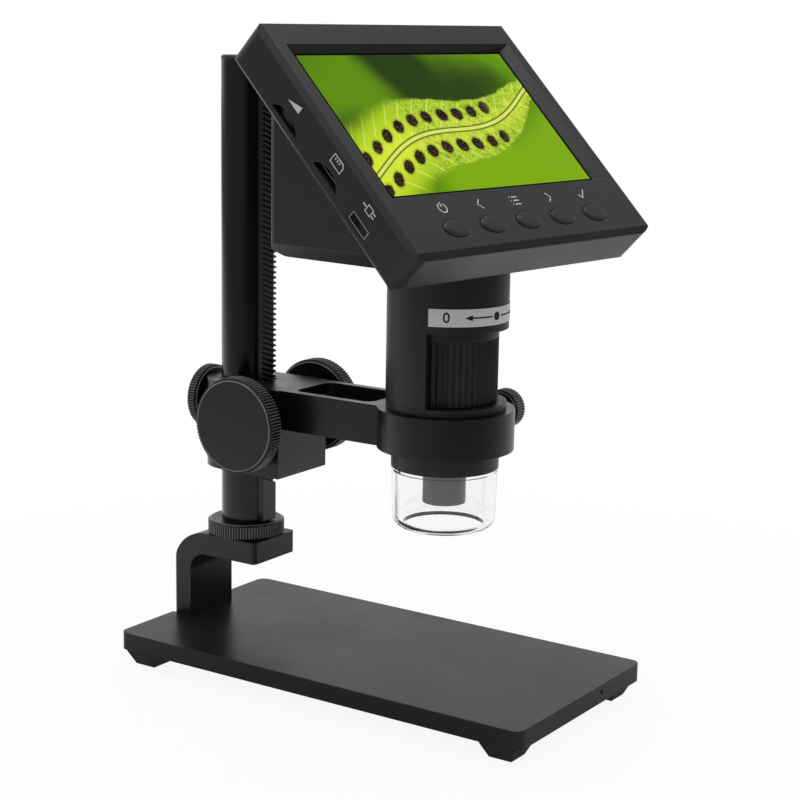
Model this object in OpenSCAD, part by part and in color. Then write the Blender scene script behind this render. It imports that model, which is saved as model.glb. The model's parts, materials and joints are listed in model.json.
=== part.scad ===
// Digital microscope with a tilted display, on a rack-and-pinion stand.
// Millimetres. Origin: middle of the base's footprint, on the surface it stands on.
// +X is the user's right, -Y faces the user, +Z is up.

/* [Base plate] */
// Width of the base plate, left to right
base_w = 80; // [60:1:120]
// Length of the base plate, front to back
base_l = 160; // [140:1:220]
// Thickness of the base plate
base_t = 6; // [4:0.1:10]
// Corner radius of the base plate
base_corner_r = 3.5; // [1:0.5:6]

/* [Feet] */
// Side of a foot where it meets the plate
foot_top = 12.6; // [10:0.2:18]
// Side of a foot where it meets the table
foot_bottom = 8; // [7:0.2:10]
// Height of a foot
foot_h = 5.5; // [4:0.1:9]
// Distance from the plate's side edges to the feet
foot_side_inset = 1.2; // [0:0.1:4]
// Distance from the plate's front and back edges to the feet
foot_end_inset = 2.4; // [0:0.1:5]

/* [Bracket] */
// Width of the bent bracket
bracket_w = 23; // [18:1:30]
// Thickness of the bracket's bar
bracket_t = 7.6; // [6:0.2:9]
// Height of the bracket's top face above the plate
bracket_h = 31; // [26:1:45]
// Length of the bracket's top, from its back face to its front end
bracket_reach = 36.2; // [33:0.2:40]
// Inner radius of the bracket's bend
bracket_bend_r = 6.5; // [3:0.5:8]
// Distance from the plate's back edge to the bracket's back face
bracket_setback = 0.5; // [0.5:0.5:3]

/* [Column] */
// Diameter of the round post
post_d = 17; // [15:0.5:17.5]
// Height of the post above the bracket
post_h = 165; // [140:1:200]
// Distance from the plate's back edge to the post's axis
post_setback = 24; // [22:0.5:25]
// Width of the toothed rack
rack_w = 7; // [6:0.2:8]
// Distance from the post's axis to the tips of the rack's teeth
rack_reach = 10.3; // [9.6:0.1:11]
// Distance from tooth to tooth along the rack
rack_pitch = 1.8; // [1.6:0.1:2]
// Slope of the rack's teeth from level
rack_slope = 20; // [0:1:25]
// Outer diameter of the collar nut
collar_d = 26.6; // [24:0.2:30]
// Height of the collar nut
collar_h = 5.2; // [4:0.2:8]

/* [Focus carriage] */
// Width of the carriage block
block_w = 27; // [26:0.5:30]
// Height of the carriage block
block_h = 30.4; // [30:0.2:36]
// Distance from the post's axis to the block's front face
block_front = 24.3; // [23:0.1:27]
// Height of the block's underside above the plate, as the carriage rests
block_rest = 56; // [52:1:70]
// Number of teeth on the pinion
pinion_teeth = 16; // [15:1:17]
// Diameter of the pinion's shaft
shaft_d = 5; // [4:0.2:5.6]
// Height of the shaft above the block's underside
shaft_rise = 19; // [17:0.5:20]
// Diameter of a focus knob
knob_d = 32.5; // [26:0.5:36]
// Thickness of a focus knob
knob_t = 6; // [4:0.2:8]
// Distance from the middle plane to a focus knob's outer face
knob_out = 25.4; // [23.5:0.1:28]
// Diameter of the tension knob behind the block
tension_d = 22; // [16:0.5:24]
// Height of the tension knob's axis above the block's underside
tension_rise = 22; // [20:0.5:24]
// Thickness of the tension knob
tension_t = 4; // [3:0.2:6]

/* [Arm and ring] */
// Distance from the post's axis to the microscope's axis
arm_reach = 82; // [78:0.5:95]
// Width of the arm
arm_w = 25.4; // [22:0.2:27]
// Height of the arm and its ring
arm_h = 13.2; // [12:0.2:16]
// Outer diameter of the ring
ring_d = 44.6; // [42:0.2:50]
// Thickness of the arm's two rails beside its slot
rail_t = 2.9; // [2.5:0.1:4]
// Corner radius of the arm's slot
slot_corner_r = 3.5; // [2:0.5:6]
// Diameter of the clamp screw's knob
clamp_d = 13.4; // [10:0.2:16]
// Thickness of the clamp screw's knob
clamp_t = 5.8; // [4:0.2:8]
// Distance from the ring's axis to the clamp knob's outer face
clamp_out = 40.2; // [36:0.1:44]
// Angle of the clamp screw, forward of the right-hand side
clamp_angle = 0; // [0:1:30]

/* [Microscope tube] */
// Diameter of the neck that stands in the ring
neck_d = 35; // [33:0.2:35.2]
// Length of neck that shows below the ring
neck_below = 6.2; // [5:0.2:9]
// Diameter of the tube above the ring
tube_d = 39.2; // [38.6:0.2:41]
// Height of the flange that sits on the ring
flange_h = 2.4; // [2:0.2:6]
// Height of the window that bares the focus ring
window_h = 24.1; // [19:0.1:26]
// Half of the angle that the window opens, from the front
window_half = 70; // [60:1:85]
// Height of the closed tube above the window
upper_h = 23.2; // [20:0.2:30]
// Diameter of the focus ring over its ribs
focus_d = 32.8; // [31:0.2:33]
// Number of ribs round the focus ring
focus_ribs = 48; // [36:1:60]
// Outer diameter of the sliding lens tube
lens_d = 14.1; // [13:0.1:14.5]
// How far the lens tube reaches below the neck
lens_drop = 11.9; // [8:0.1:13]
// Travel of the lens tube from end to end
lens_travel = 6; // [4:0.5:7]
// Turn of the focus ring for that travel
focus_turn = 120; // [100:5:140]
// Height of the clear shroud below the neck
shroud_h = 20.1; // [19:0.1:26]
// Thickness of the clear shroud's wall
shroud_wall = 1.3; // [1:0.1:1.6]
// Height of the printed scale band
band_h = 5.6; // [4:0.1:7]

/* [Display head] */
// Turn of the microscope in its ring, seen from above
head_turn = -7; // [-20:1:20]
// Tilt of the display from level
screen_tilt = 45; // [42:1:48]
// Height of the display's centre above the tube's top
screen_rise = 41.8; // [41:0.2:45]
// Distance of the display's centre behind the tube's axis
screen_back = 1; // [0:0.5:3]
// Width of the display housing
case_w = 119; // [114:0.5:120]
// Height of the housing above the display's centre, along its face
case_up = 40.2; // [38.5:0.1:41]
// Height of the housing below the display's centre, along its face
case_down = 52.2; // [52:0.1:54]
// Depth of the front housing behind the display's surface
case_back = 11.3; // [11.2:0.1:13]
// Depth of the window's frame above the display's surface
case_lip = 2.4; // [1.8:0.1:3]
// Corner radius of the housing, seen from the front
case_corner_r = 5; // [4:0.5:7]
// Thickness of the housing's walls
case_wall = 2; // [1.6:0.1:2.2]
// Width of the display that shows
view_w = 99.8; // [94:0.2:102]
// Height of the display that shows
view_h = 56.6; // [50:0.2:57.6]
// Slope of the window frame's two sides, across its depth
view_side_slope = 3.6; // [0:0.1:4]
// Slope of the window frame's top and bottom, across its depth
view_end_slope = 1.8; // [0:0.1:2.2]
// Width of the rear wedge
wedge_w = 101.4; // [98:0.2:102]
// Distance of the wedge's back face behind the tube's axis
wedge_back = 31.5; // [28:0.5:32]
// Width of a key
key_w = 11; // [10:0.2:14]
// Height of a key
key_h = 6.4; // [5:0.2:8]
// Distance from key to key
key_pitch = 17.4; // [16:0.2:19]
// Distance of the row of keys below the display's centre
key_down = 43; // [41.5:0.1:43.5]

/* [Hidden] */
$fn = 64;

// Clearances and small fits, each used wherever that kind of fit occurs
run_fit = 0.05;      // radial, where a shaft turns or a tube slides
seat_gap = 0.05;     // between flat faces that turn on each other
rib_step = 0.1;      // between the valleys of a ribbed rim and the plain round beside them
end_gap = 0.2;       // beyond the end of a screw or a stub in its blind hole
thread_fit = 0.03;   // radial, between a screw and the hole that holds it
soft_gap = 0.2;      // round a key in its hole
cut = 1;             // how far a cutting solid runs past the face it cuts
head_gap = 0.2;      // radial, between a screw's head or shank and its plain hole
rim_bevel = 0.5;     // chamfer on the rims of the knurled knobs

// Base and feet
stage_z = foot_h + base_t;
foot_x = base_w / 2 - foot_side_inset - foot_top / 2;
foot_y = base_l / 2 - foot_end_inset - foot_top / 2;
foot_screw_d = 2.6;
foot_head_d = 4.4;
foot_head_h = 2;
foot_rim = 0.8;      // upright rim at the foot's top
foot_sink = 2.6;     // the screw's head lies this deep in the foot
foot_screw_bite = 4; // thread in the plate
edge_hole_d = 1.6;   // small hole in the plate's front edge
edge_hole_x = 12;

// Bracket and its screws
bracket_back_y = base_l / 2 - bracket_setback;
bracket_front_y = bracket_back_y - bracket_reach;
bracket_top_z = stage_z + bracket_h;
bracket_edge_r = 1.6;
bracket_screw_d = 4;
bracket_screw_x = bracket_w / 4;
bracket_screw_y = bracket_back_y - bracket_t / 2;
bracket_screw_bite = 10;
bracket_head_d = 7.4;
bracket_head_h = 2.2;
bracket_sink = 0.5;  // the leg stands this deep in a notch of the plate
bracket_notch_gap = 0.1;

// Post, rack and bolt
post_y = base_l / 2 - post_setback;
post_r = post_d / 2;
post_z0 = bracket_top_z + seat_gap;
post_z1 = bracket_top_z + post_h;
cap_t = 1.2;
cap_bevel = 0.5;
cap_stub_d = 8;
cap_stub_h = 5;
bolt_d = 6;
bolt_bite = 16;
bolt_head_d = 10;
bolt_head_h = 3.2;
bolt_hex = 5.8;      // across the corners of the key's socket
washer_d = 13;
washer_t = 1;
bolt_recess_d = washer_d + 1;
bolt_recess_h = bolt_head_h + washer_t + 2 * seat_gap;
bolt_seat_z = bracket_top_z - bracket_t + bolt_recess_h;
collar_z = bracket_top_z + 3 * seat_gap;
rack_z0 = collar_z + collar_h + 0.4;
rack_z1 = post_z1 - cap_t - 0.4;
rack_addendum = 0.5;
rack_root_gap = 0.15;
rack_backlash = 0.12;
rack_back = post_r - 2;              // the rack's groove is cut this far from the axis
rack_depth = 2 * rack_addendum + rack_root_gap;
rack_screw_d = 2;
rack_screw_head_d = 4;
rack_screw_inset = 12;               // from the rack's ends to its outer screws
rack_screw_z = [rack_z0 + rack_screw_inset, (rack_z0 + rack_z1) / 2, rack_z1 - rack_screw_inset];
rack_lead = 6;                       // teeth that reach below the carriage as it rests
pressure_angle = 20;

// Carriage, pinion and knobs
block_z = stage_z + block_rest;
block_top = block_z + block_h;
block_r = block_w / 2;
pitch_r = pinion_teeth * rack_pitch / (2 * PI);
pinion_off = rack_reach - rack_addendum + pitch_r;
pinion_y = post_y - pinion_off;
pinion_z = block_z + shaft_rise;
pinion_tip_r = pitch_r + rack_addendum;
pinion_root_r = pitch_r - rack_addendum - rack_root_gap;
pinion_base_r = pitch_r * cos(pressure_angle);
pinion_w = rack_w + 1;
pinion_room = 0.6;                   // clearance round the pinion in its chamber
rack_room = 0.7;                     // clearance round the rack in the block
post_bush_d = post_d + 3;
post_bush_l = 5.4;
shaft_bush_d = shaft_d + 3;
shaft_bush_flange_d = shaft_bush_d + 3;
shaft_bush_flange_t = 1;
knob_in = knob_out - knob_t;
knob_rib_h = 0.45;
knob_cap_t = 1.2;                    // closed face over the end of the shaft
hub_d = 12;
hub_in = block_r + shaft_bush_flange_t + 0.2;
knob_ribs = 96;
set_screw_d = 3;
set_screw_l = (hub_d - shaft_d) / 2 - 0.2;
tension_z = block_z + tension_rise;
tension_screw_d = 5;
tension_pad_t = 3.5;
pad_hollow = 0.45;                   // depth of the pad's hollow face
tension_out = block_r + 0.5;         // inner face of the tension knob

// Arm, ring and clamp screw
scope_y = post_y - arm_reach;
ring_r = ring_d / 2;
ring_bottom = block_top - arm_h;
arm_back_y = post_y - block_front;
arm_back_t = 3.8;                    // between the slot and the arm's back face
slot_back_y = arm_back_y - arm_back_t;
slot_front_y = scope_y + ring_r + 0.4;
arm_screw_d = 4;
arm_seat_t = 3;                      // left under the arm screws' heads
arm_screw_x = 5.4;
arm_screw_bite = 3.4;
arm_head_d = 6.6;
arm_head_h = 3;
clamp_screw_d = 4;
clamp_hub_d = 7.8;
clamp_hub_gap = 0.6;                 // between the clamp screw's hub and the ring
clamp_tip_gap = 0.3;                 // between the clamp screw's tip and the neck

// Microscope tube
neck_r = neck_d / 2;
tube_r = tube_d / 2;
flange_r = neck_r + 2;
flange_z = block_top + seat_gap;
window_z0 = flange_z + flange_h;
window_z1 = window_z0 + window_h;
web_t = 2.2;
tube_top = window_z1 + upper_h;
neck_z0 = ring_bottom - neck_below;
neck_wall = 1.8;
socket_r = neck_r - neck_wall;
ledge_rise = 7.4;
ledge_z = neck_z0 + ledge_rise;      // inner shoulder that the lens guide seats against
ledge_r = socket_r - 1.9;
shell_wall = 2;
focus_r = focus_d / 2;
focus_rib_h = 0.7;
focus_gap = 0.2;                     // above and below the focus ring
focus_band_h = 2.7;                  // plain band on top of the ribs
window_wall_r = focus_r + 0.8;
lens_r = lens_d / 2;
guide_r = lens_r + run_fit + 1.5;
guide_flange_t = 1.8;
pin_r = 0.8;
pin_reach = guide_r + 2.3;
pin_z = (window_z0 + window_z1) / 2;
pin_gap = 0.2;
lens_z0 = neck_z0 - lens_drop;
lens_z1 = pin_z + 2.7;
lens_wall = 1.45;
lens_lip = 0.8;
lens_bay_h = 5;
front_lens_t = 2.5;
rear_lens_t = 1.5;
rear_bay_h = 14;
led_board_t = 1.4;
led_count = 8;
led_r = 1.5;
led_h = 1.2;
led_ring_r = (lens_r + socket_r) / 2;
sensor_board_t = 1.6;
sensor_chip = 6;
sensor_chip_t = 0.9;
shroud_neck_h = 4;
shroud_top = neck_z0 - 0.1;
shroud_r = neck_r - 0.2;
shroud_taper = 0.4;
shroud_corner_r = 4;
shroud_z0 = neck_z0 - shroud_h;
shroud_hole_r = shroud_r - shroud_taper - shroud_corner_r + 0.4;
band_t = 0.2;
band_z = window_z1 + 2.5;
band_half = 68.5;

// Display head: local x right, y up along the display, z out of its surface
screen_z = tube_top + screen_rise;
case_h = case_up + case_down;
case_mid = (case_up - case_down) / 2;
case_r = case_w / 2;
plate_t = 1.6;                       // rear housing's flange behind the front housing
rear_z = -case_back - plate_t;
front_bevel = 1.8;
back_bevel = 1.3;
glass_margin = 1.6;                  // glass that lies behind the window's frame
glass_t = 1.6;
panel_w = view_w + 2 * glass_margin;
panel_h = view_h + 2 * glass_margin;
frame_t = 3.6;
board_t = 1.2;
board_front = case_back - board_t;
board_gap = 1;                       // between the board's edge and the housing's wall
board_inset = 9.5;                   // room for the wheel and the bosses beside the board
board_tab_w = 12;                    // tab of the board that carries the side sockets
board_tab_l = 60;
boss_r = 2.6;
boss_merge = 0.6;                    // the screw bosses run this far into the walls
boss_x = case_r - case_wall - boss_r + boss_merge;
boss_up = case_up - case_wall - boss_r + boss_merge;
boss_down = case_down - case_wall - boss_r + boss_merge;
case_screw_d = 2;
case_screw_head_d = 4;
case_screw_head_h = 0.9;
case_screw_l = 7;
wedge_chamfer_x = 5.5;
wedge_chamfer_z = 4.5;
wedge_edge_r = 4;
key_rise = 0.4;                      // a key stands this far out of the face
key_travel = 0.6;
key_skirt = 1;
key_skirt_t = 1.2;
key_stem = 3;
switch_w = 6;
plunger_r = 1.6;
plunger_h = 0.8;
switch_gap = key_travel + 0.1;
key_back = 3.6;                      // lower end of a key's stem, behind the display's surface
key_x = [for (i = [-2:2]) i * key_pitch];
wheel_r = 8.5;
wheel_t = 2.4;
wheel_up = 10.6;
wheel_back = 8.1;
wheel_sink = 0.5;                    // the wheel's rim lies this far inside the side face
wheel_x = -case_r + wheel_sink + wheel_r;
wheel_pin_r = 1;
wheel_room = 0.4;                    // clearance round the wheel's rim
pot_r = 4;
pocket_half = 7;
pocket_back = 9.9;
pocket_front = 6.3;
card_up = -12.2;
card_half = 6.6;
card_back = 9.2;
card_front = 5.8;
card_t = 1.9;
card_l = 15;
usb_up = -30.4;
usb_w = 8.8;
usb_t = 3.2;
usb_l = 6;
port_fit = 0.15;
socket_wall = 0.4;
cable_w = 10;
cable_t = 0.4;
cable_hole_r = 8;
battery_w = 60;
battery_h = 34;
battery_t = 8;

// ---------- helpers ----------

module rounded_rect(w, h, r) {
    square([w - 2 * r, h], center = true);
    square([w, h - 2 * r], center = true);
    for (x = [-1, 1], y = [-1, 1]) translate([x * (w / 2 - r), y * (h / 2 - r)]) circle(r);
}

// Outline with triangular ribs, for knurled and ribbed rims
module ribbed_disc(r, ribs, depth) {
    step = 180 / ribs;
    polygon([for (i = [0:2 * ribs - 1])
        let (q = r - (i % 2) * depth) [q * cos(i * step), q * sin(i * step)]]);
}

// Straight-knurled disc along +Z with a chamfer at both rims
module knurled_disc(r, t, ribs, depth) {
    shoulder_r = r - depth - rib_step;
    translate([0, 0, rim_bevel]) linear_extrude(t - 2 * rim_bevel) ribbed_disc(r, ribs, depth);
    cylinder(h = rim_bevel, r1 = shoulder_r - rim_bevel, r2 = shoulder_r);
    translate([0, 0, t - rim_bevel]) cylinder(h = rim_bevel, r1 = shoulder_r, r2 = shoulder_r - rim_bevel);
}

// Flat sector from the front (-Y) to half the angle on each side
module front_sector(half, r) {
    steps = 8;
    polygon(concat([[0, 0]], [for (i = [0:steps])
        let (a = -90 - half + i * 2 * half / steps) [r * cos(a), r * sin(a)]]));
}

// Oval made of two end arcs and two long arcs
module oval(w, h) {
    end_r = h * 0.36;
    c = w / 2 - end_r;
    rise = h / 2 - end_r;
    k = (c * c - rise * rise) / (2 * rise);
    long_r = h / 2 + k;
    tangent_x = c * long_r / (long_r - end_r);
    for (s = [-1, 1]) translate([s * c, 0]) circle(end_r);
    intersection() {
        translate([0, -k]) circle(long_r, $fn = 128);
        translate([0, k]) circle(long_r, $fn = 128);
        square([2 * tangent_x, 2 * h], center = true);
    }
}

// A 2D outline in (y, z), drawn out along X
module along_x(w) { rotate([90, 0, 90]) linear_extrude(w, center = true) children(); }

// A 2D outline in (x, z), drawn out along Y
module along_y(l) { rotate([90, 0, 0]) linear_extrude(l, center = true) children(); }

module at_post() { translate([0, post_y, 0]) children(); }
module at_scope() { translate([0, scope_y, 0]) rotate([0, 0, head_turn]) children(); }
module at_screen() {
    at_scope() translate([0, screen_back, screen_z]) rotate([screen_tilt, 0, 0]) children();
}
module at_shaft() { translate([0, pinion_y, pinion_z]) children(); }
module at_clamp() {
    translate([0, scope_y, block_top - arm_h / 2]) rotate([0, 0, -clamp_angle]) rotate([0, 90, 0]) children();
}

// ---------- base ----------

module base_plate() color([0.11, 0.11, 0.12]) difference() {
    translate([0, 0, foot_h]) linear_extrude(base_t) rounded_rect(base_w, base_l, base_corner_r);
    for (x = [-1, 1], y = [-1, 1])
        translate([x * foot_x, y * foot_y, foot_h - cut])
            cylinder(h = cut + foot_screw_bite + end_gap, d = foot_screw_d + 2 * thread_fit);
    for (s = [-1, 1]) translate([s * bracket_screw_x, bracket_screw_y, foot_h - cut]) {
        cylinder(h = base_t + 2 * cut, d = bracket_screw_d + 2 * head_gap);
        cylinder(h = cut + bracket_head_h + end_gap, d = bracket_head_d + 2 * head_gap);
    }
    translate([-bracket_w / 2 - bracket_notch_gap, bracket_back_y - bracket_t - bracket_notch_gap,
        stage_z - bracket_sink])
        cube([bracket_w + 2 * bracket_notch_gap, bracket_t + bracket_setback + cut, bracket_sink + cut]);
    translate([edge_hole_x, -base_l / 2 - cut, foot_h + base_t * 0.6]) rotate([-90, 0, 0])
        cylinder(h = cut + 5, d = edge_hole_d);
}

module foot(x, y) color([0.07, 0.07, 0.07]) translate([x * foot_x, y * foot_y, 0]) difference() {
    union() {
        translate([-foot_top / 2, -foot_top / 2, foot_h - foot_rim]) cube([foot_top, foot_top, foot_rim]);
        rotate([0, 0, 45])
            cylinder(h = foot_h - foot_rim, r1 = foot_bottom / sqrt(2), r2 = foot_top / sqrt(2), $fn = 4);
    }
    translate([0, 0, -cut]) cylinder(h = foot_h + 2 * cut, d = foot_screw_d + 2 * head_gap);
    translate([0, 0, -cut]) cylinder(h = cut + foot_sink, d = foot_head_d + 2 * head_gap);
}

module foot_front_left() { foot(-1, -1); }
module foot_front_right() { foot(1, -1); }
module foot_back_left() { foot(-1, 1); }
module foot_back_right() { foot(1, 1); }

module foot_screws() color([0.45, 0.45, 0.47]) for (x = [-1, 1], y = [-1, 1])
    translate([x * foot_x, y * foot_y, foot_sink]) difference() {
        union() {
            translate([0, 0, -foot_head_h]) cylinder(h = foot_head_h, d = foot_head_d);
            cylinder(h = foot_h - foot_sink + foot_screw_bite, d = foot_screw_d);
        }
        cross_recess(-foot_head_h, 1);
    }

// Cross recess cut into a screw's head at height z, opening downwards
module cross_recess(z, depth) {
    for (a = [0, 90]) rotate([0, 0, a])
        translate([-1.5, -0.35, z - cut]) cube([3, 0.7, cut + depth]);
}

module column_bracket() color([0.11, 0.11, 0.12]) difference() {
    intersection() {
        translate([0, 0, stage_z]) along_x(bracket_w) bracket_side();
        translate([0, (bracket_back_y + bracket_front_y) / 2, stage_z - cut])
            linear_extrude(bracket_h + 2 * cut)
                rounded_rect(bracket_w, bracket_reach, bracket_edge_r);
    }
    at_post() translate([0, 0, bolt_seat_z - bolt_recess_h - cut]) {
        cylinder(h = bracket_t + 2 * cut, d = bolt_d + 2 * run_fit);
        cylinder(h = bolt_recess_h + cut, d = bolt_recess_d);
    }
    for (s = [-1, 1]) translate([s * bracket_screw_x, bracket_screw_y, stage_z - cut])
        cylinder(h = cut + bracket_screw_bite + end_gap, d = bracket_screw_d + 2 * thread_fit);
}

// Side view of the bent bar: a leg, a bend and a level top
module bracket_side() {
    outer_r = bracket_bend_r + bracket_t;
    bend_y = bracket_back_y - outer_r;
    bend_z = bracket_h - outer_r;
    translate([bracket_back_y - bracket_t, -bracket_sink]) square([bracket_t, bend_z + bracket_sink]);
    translate([bracket_front_y, bracket_h - bracket_t]) square([bend_y - bracket_front_y, bracket_t]);
    translate([bend_y, bend_z]) intersection() {
        difference() {
            circle(outer_r);
            circle(bracket_bend_r);
        }
        square(outer_r + cut);
    }
}

module bracket_screws() color([0.45, 0.45, 0.47]) for (s = [-1, 1])
    translate([s * bracket_screw_x, bracket_screw_y, foot_h + bracket_head_h + end_gap]) difference() {
        union() {
            translate([0, 0, -bracket_head_h]) cylinder(h = bracket_head_h, d = bracket_head_d);
            cylinder(h = base_t - bracket_head_h - end_gap + bracket_screw_bite, d = bracket_screw_d);
        }
        cross_recess(-bracket_head_h, 1.2);
    }

module column_washer() color([0.55, 0.55, 0.57]) at_post()
    translate([0, 0, bolt_seat_z - washer_t]) difference() {
        cylinder(h = washer_t, d = washer_d);
        translate([0, 0, -cut]) cylinder(h = washer_t + 2 * cut, d = bolt_d + 2 * run_fit);
    }

// ---------- column ----------

module post() color([0.09, 0.09, 0.10]) at_post() difference() {
    translate([0, 0, post_z0]) cylinder(h = post_z1 - cap_t - post_z0, r = post_r);
    translate([-rack_w / 2, -post_r - cut, rack_z0]) cube([rack_w, post_r - rack_back + cut, post_h]);
    translate([0, 0, post_z0 - cut]) cylinder(h = cut + bolt_bite + 1, d = bolt_d + 2 * thread_fit);
    translate([0, 0, post_z1 - cap_t - cap_stub_h - end_gap])
        cylinder(h = cap_stub_h + cut, d = cap_stub_d + 2 * thread_fit);
    for (z = rack_screw_z) translate([0, 0, z]) rotate([90, 0, 0]) {
        translate([0, 0, -post_r - cut]) cylinder(h = 2 * post_r, d = rack_screw_d + 2 * thread_fit);
        translate([0, 0, -post_r - cut]) cylinder(h = cut + 3, d = rack_screw_head_d + 0.3);
    }
}

// Depth and height of one side of a tooth space: points from the tip line to the root and back
function space_points(s) =
    let (tip = -rack_reach, root = -rack_reach + rack_depth,
        half = (rack_pitch / 4 + rack_backlash / 4),
        at_tip = (half + rack_addendum * tan(pressure_angle)) * cos(rack_slope),
        at_root = (half - (rack_depth - rack_addendum) * tan(pressure_angle)) * cos(rack_slope))
    [[tip, s - at_tip], [root, s - at_root], [root, s + at_root], [tip, s + at_tip]];

module rack() color([0.10, 0.10, 0.11]) at_post() {
    teeth_z0 = block_z - rack_lead;
    first = ceil((teeth_z0 - pinion_z) / rack_pitch);
    last = floor((rack_z1 - 3 - pinion_z) / rack_pitch);
    spaces = [for (i = [first:last]) each space_points(i * rack_pitch * cos(rack_slope))];
    far = post_h;
    difference() {
        intersection() {
            translate([0, 0, pinion_z]) rotate([0, rack_slope, 0]) along_x(2 * far)
                polygon(concat([[-rack_back, far], [-rack_back, -far], [-rack_reach, -far]],
                    spaces, [[-rack_reach, far]]));
            translate([-rack_w / 2 + thread_fit, -rack_reach, rack_z0])
                cube([rack_w - 2 * thread_fit, rack_reach - rack_back, rack_z1 - rack_z0]);
        }
        for (z = rack_screw_z) translate([0, -rack_back + cut, z]) rotate([90, 0, 0])
            cylinder(h = cut + 2.2, d = rack_screw_d + 2 * thread_fit);
    }
}

module rack_screws() color([0.4, 0.4, 0.42]) at_post() for (z = rack_screw_z)
    translate([0, 0, z]) rotate([90, 0, 0]) difference() {
        union() {
            translate([0, 0, -post_r + 0.4]) cylinder(h = 2.6, d = rack_screw_head_d);
            translate([0, 0, -post_r + 0.4]) cylinder(h = post_r - 0.4 + rack_back + 2, d = rack_screw_d);
        }
        translate([0, 0, -post_r]) cylinder(h = 1.8, d = 1.8, $fn = 6);
    }

module post_cap() color([0.08, 0.08, 0.08]) at_post() {
    translate([0, 0, post_z1 - cap_t]) cylinder(h = cap_t - cap_bevel, r = post_r);
    translate([0, 0, post_z1 - cap_bevel]) cylinder(h = cap_bevel, r1 = post_r, r2 = post_r - cap_bevel);
    translate([0, 0, post_z1 - cap_t - cap_stub_h]) cylinder(h = cap_stub_h, d = cap_stub_d);
}

module column_bolt() color([0.35, 0.35, 0.37]) at_post()
    translate([0, 0, bolt_seat_z - washer_t - seat_gap]) difference() {
        union() {
            translate([0, 0, -bolt_head_h]) cylinder(h = bolt_head_h, d = bolt_head_d);
            cylinder(h = post_z0 + bolt_bite - bolt_seat_z + washer_t + seat_gap, d = bolt_d);
        }
        translate([0, 0, -bolt_head_h - cut]) cylinder(h = cut + bolt_head_h / 2, d = bolt_hex, $fn = 6);
    }

module collar_nut() color([0.11, 0.11, 0.12]) at_post() translate([0, 0, collar_z]) difference() {
    knurled_disc(collar_d / 2, collar_h, 84, 0.35);
    translate([0, 0, -cut]) cylinder(h = collar_h + 2 * cut, r = post_r + run_fit);
}

// ---------- carriage ----------

module carriage_block() color([0.12, 0.12, 0.13]) at_post() difference() {
    translate([0, 0, block_z]) linear_extrude(block_h) {
        translate([-block_r, -block_front]) square([block_w, block_front]);
        circle(block_r);
    }
    translate([0, 0, block_z - cut]) cylinder(h = block_h + 2 * cut, d = post_bush_d + 2 * thread_fit);
    rack_passage(block_z - cut, block_h + 2 * cut);
    translate([0, -pinion_off, pinion_z]) rotate([0, 90, 0]) {
        cylinder(h = pinion_w + 2 * pinion_room, r = pinion_tip_r + pinion_room, center = true);
        cylinder(h = block_w + 2 * cut, d = shaft_bush_d + 2 * thread_fit, center = true);
    }
    translate([0, post_r, tension_z]) rotate([-90, 0, 0])
        cylinder(h = block_r, d = tension_screw_d + 2 * run_fit);
    for (s = [-1, 1]) translate([s * arm_screw_x, -block_front - cut, block_top - arm_h / 2])
        rotate([-90, 0, 0]) cylinder(h = cut + arm_screw_bite + end_gap, d = arm_screw_d + 2 * thread_fit);
}

// Straight passage for the rack, open to the bore
module rack_passage(z, h) {
    translate([-rack_w / 2 - rack_room, -rack_reach - rack_room, z])
        cube([rack_w + 2 * rack_room, rack_reach + rack_room, h]);
}

module post_bushings() color([0.30, 0.28, 0.24]) at_post()
    for (z = [block_z, block_top - post_bush_l]) difference() {
        translate([0, 0, z]) cylinder(h = post_bush_l, d = post_bush_d);
        translate([0, 0, z - cut]) cylinder(h = post_bush_l + 2 * cut, r = post_r + run_fit);
        rack_passage(z - cut, post_bush_l + 2 * cut);
    }

module shaft_bushings() color([0.62, 0.50, 0.28]) at_shaft() for (s = [-1, 1])
    rotate([0, s * 90, 0]) difference() {
        union() {
            translate([0, 0, pinion_w / 2 + pinion_room])
                cylinder(h = block_r - pinion_w / 2 - pinion_room, d = shaft_bush_d);
            translate([0, 0, block_r]) cylinder(h = shaft_bush_flange_t, d = shaft_bush_flange_d);
        }
        translate([0, 0, pinion_w / 2]) cylinder(h = block_r + cut, d = shaft_d + 2 * run_fit);
    }

// Brake pad with a hollow face that bears on the round post
module tension_pad() color([0.85, 0.83, 0.78]) at_post() translate([0, 0, tension_z]) difference() {
    translate([0, post_r - pad_hollow, 0]) rotate([-90, 0, 0])
        cylinder(h = tension_pad_t + pad_hollow, d = tension_screw_d);
    cylinder(h = 2 * tension_screw_d, r = post_r + run_fit, center = true);
}

module support_arm() color([0.12, 0.12, 0.13]) difference() {
    translate([0, 0, ring_bottom]) linear_extrude(arm_h) difference() {
        union() {
            translate([0, scope_y]) circle(ring_r);
            translate([-arm_w / 2, scope_y]) square([arm_w, arm_back_y - scope_y]);
        }
        translate([0, scope_y]) circle(neck_r + run_fit);
        translate([0, (slot_front_y + slot_back_y) / 2])
            rounded_rect(arm_w - 2 * rail_t, slot_back_y - slot_front_y, slot_corner_r);
    }
    for (s = [-1, 1]) translate([s * arm_screw_x, arm_back_y, block_top - arm_h / 2]) rotate([90, 0, 0]) {
        translate([0, 0, -cut]) cylinder(h = arm_back_t + 2 * cut, d = arm_screw_d + 2 * head_gap);
        translate([0, 0, arm_seat_t])
            cylinder(h = arm_back_t - arm_seat_t + slot_corner_r, d = arm_head_d + 2 * head_gap);
    }
    at_clamp() cylinder(h = ring_r + cut, d = clamp_screw_d + 2 * run_fit);
}

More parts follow.
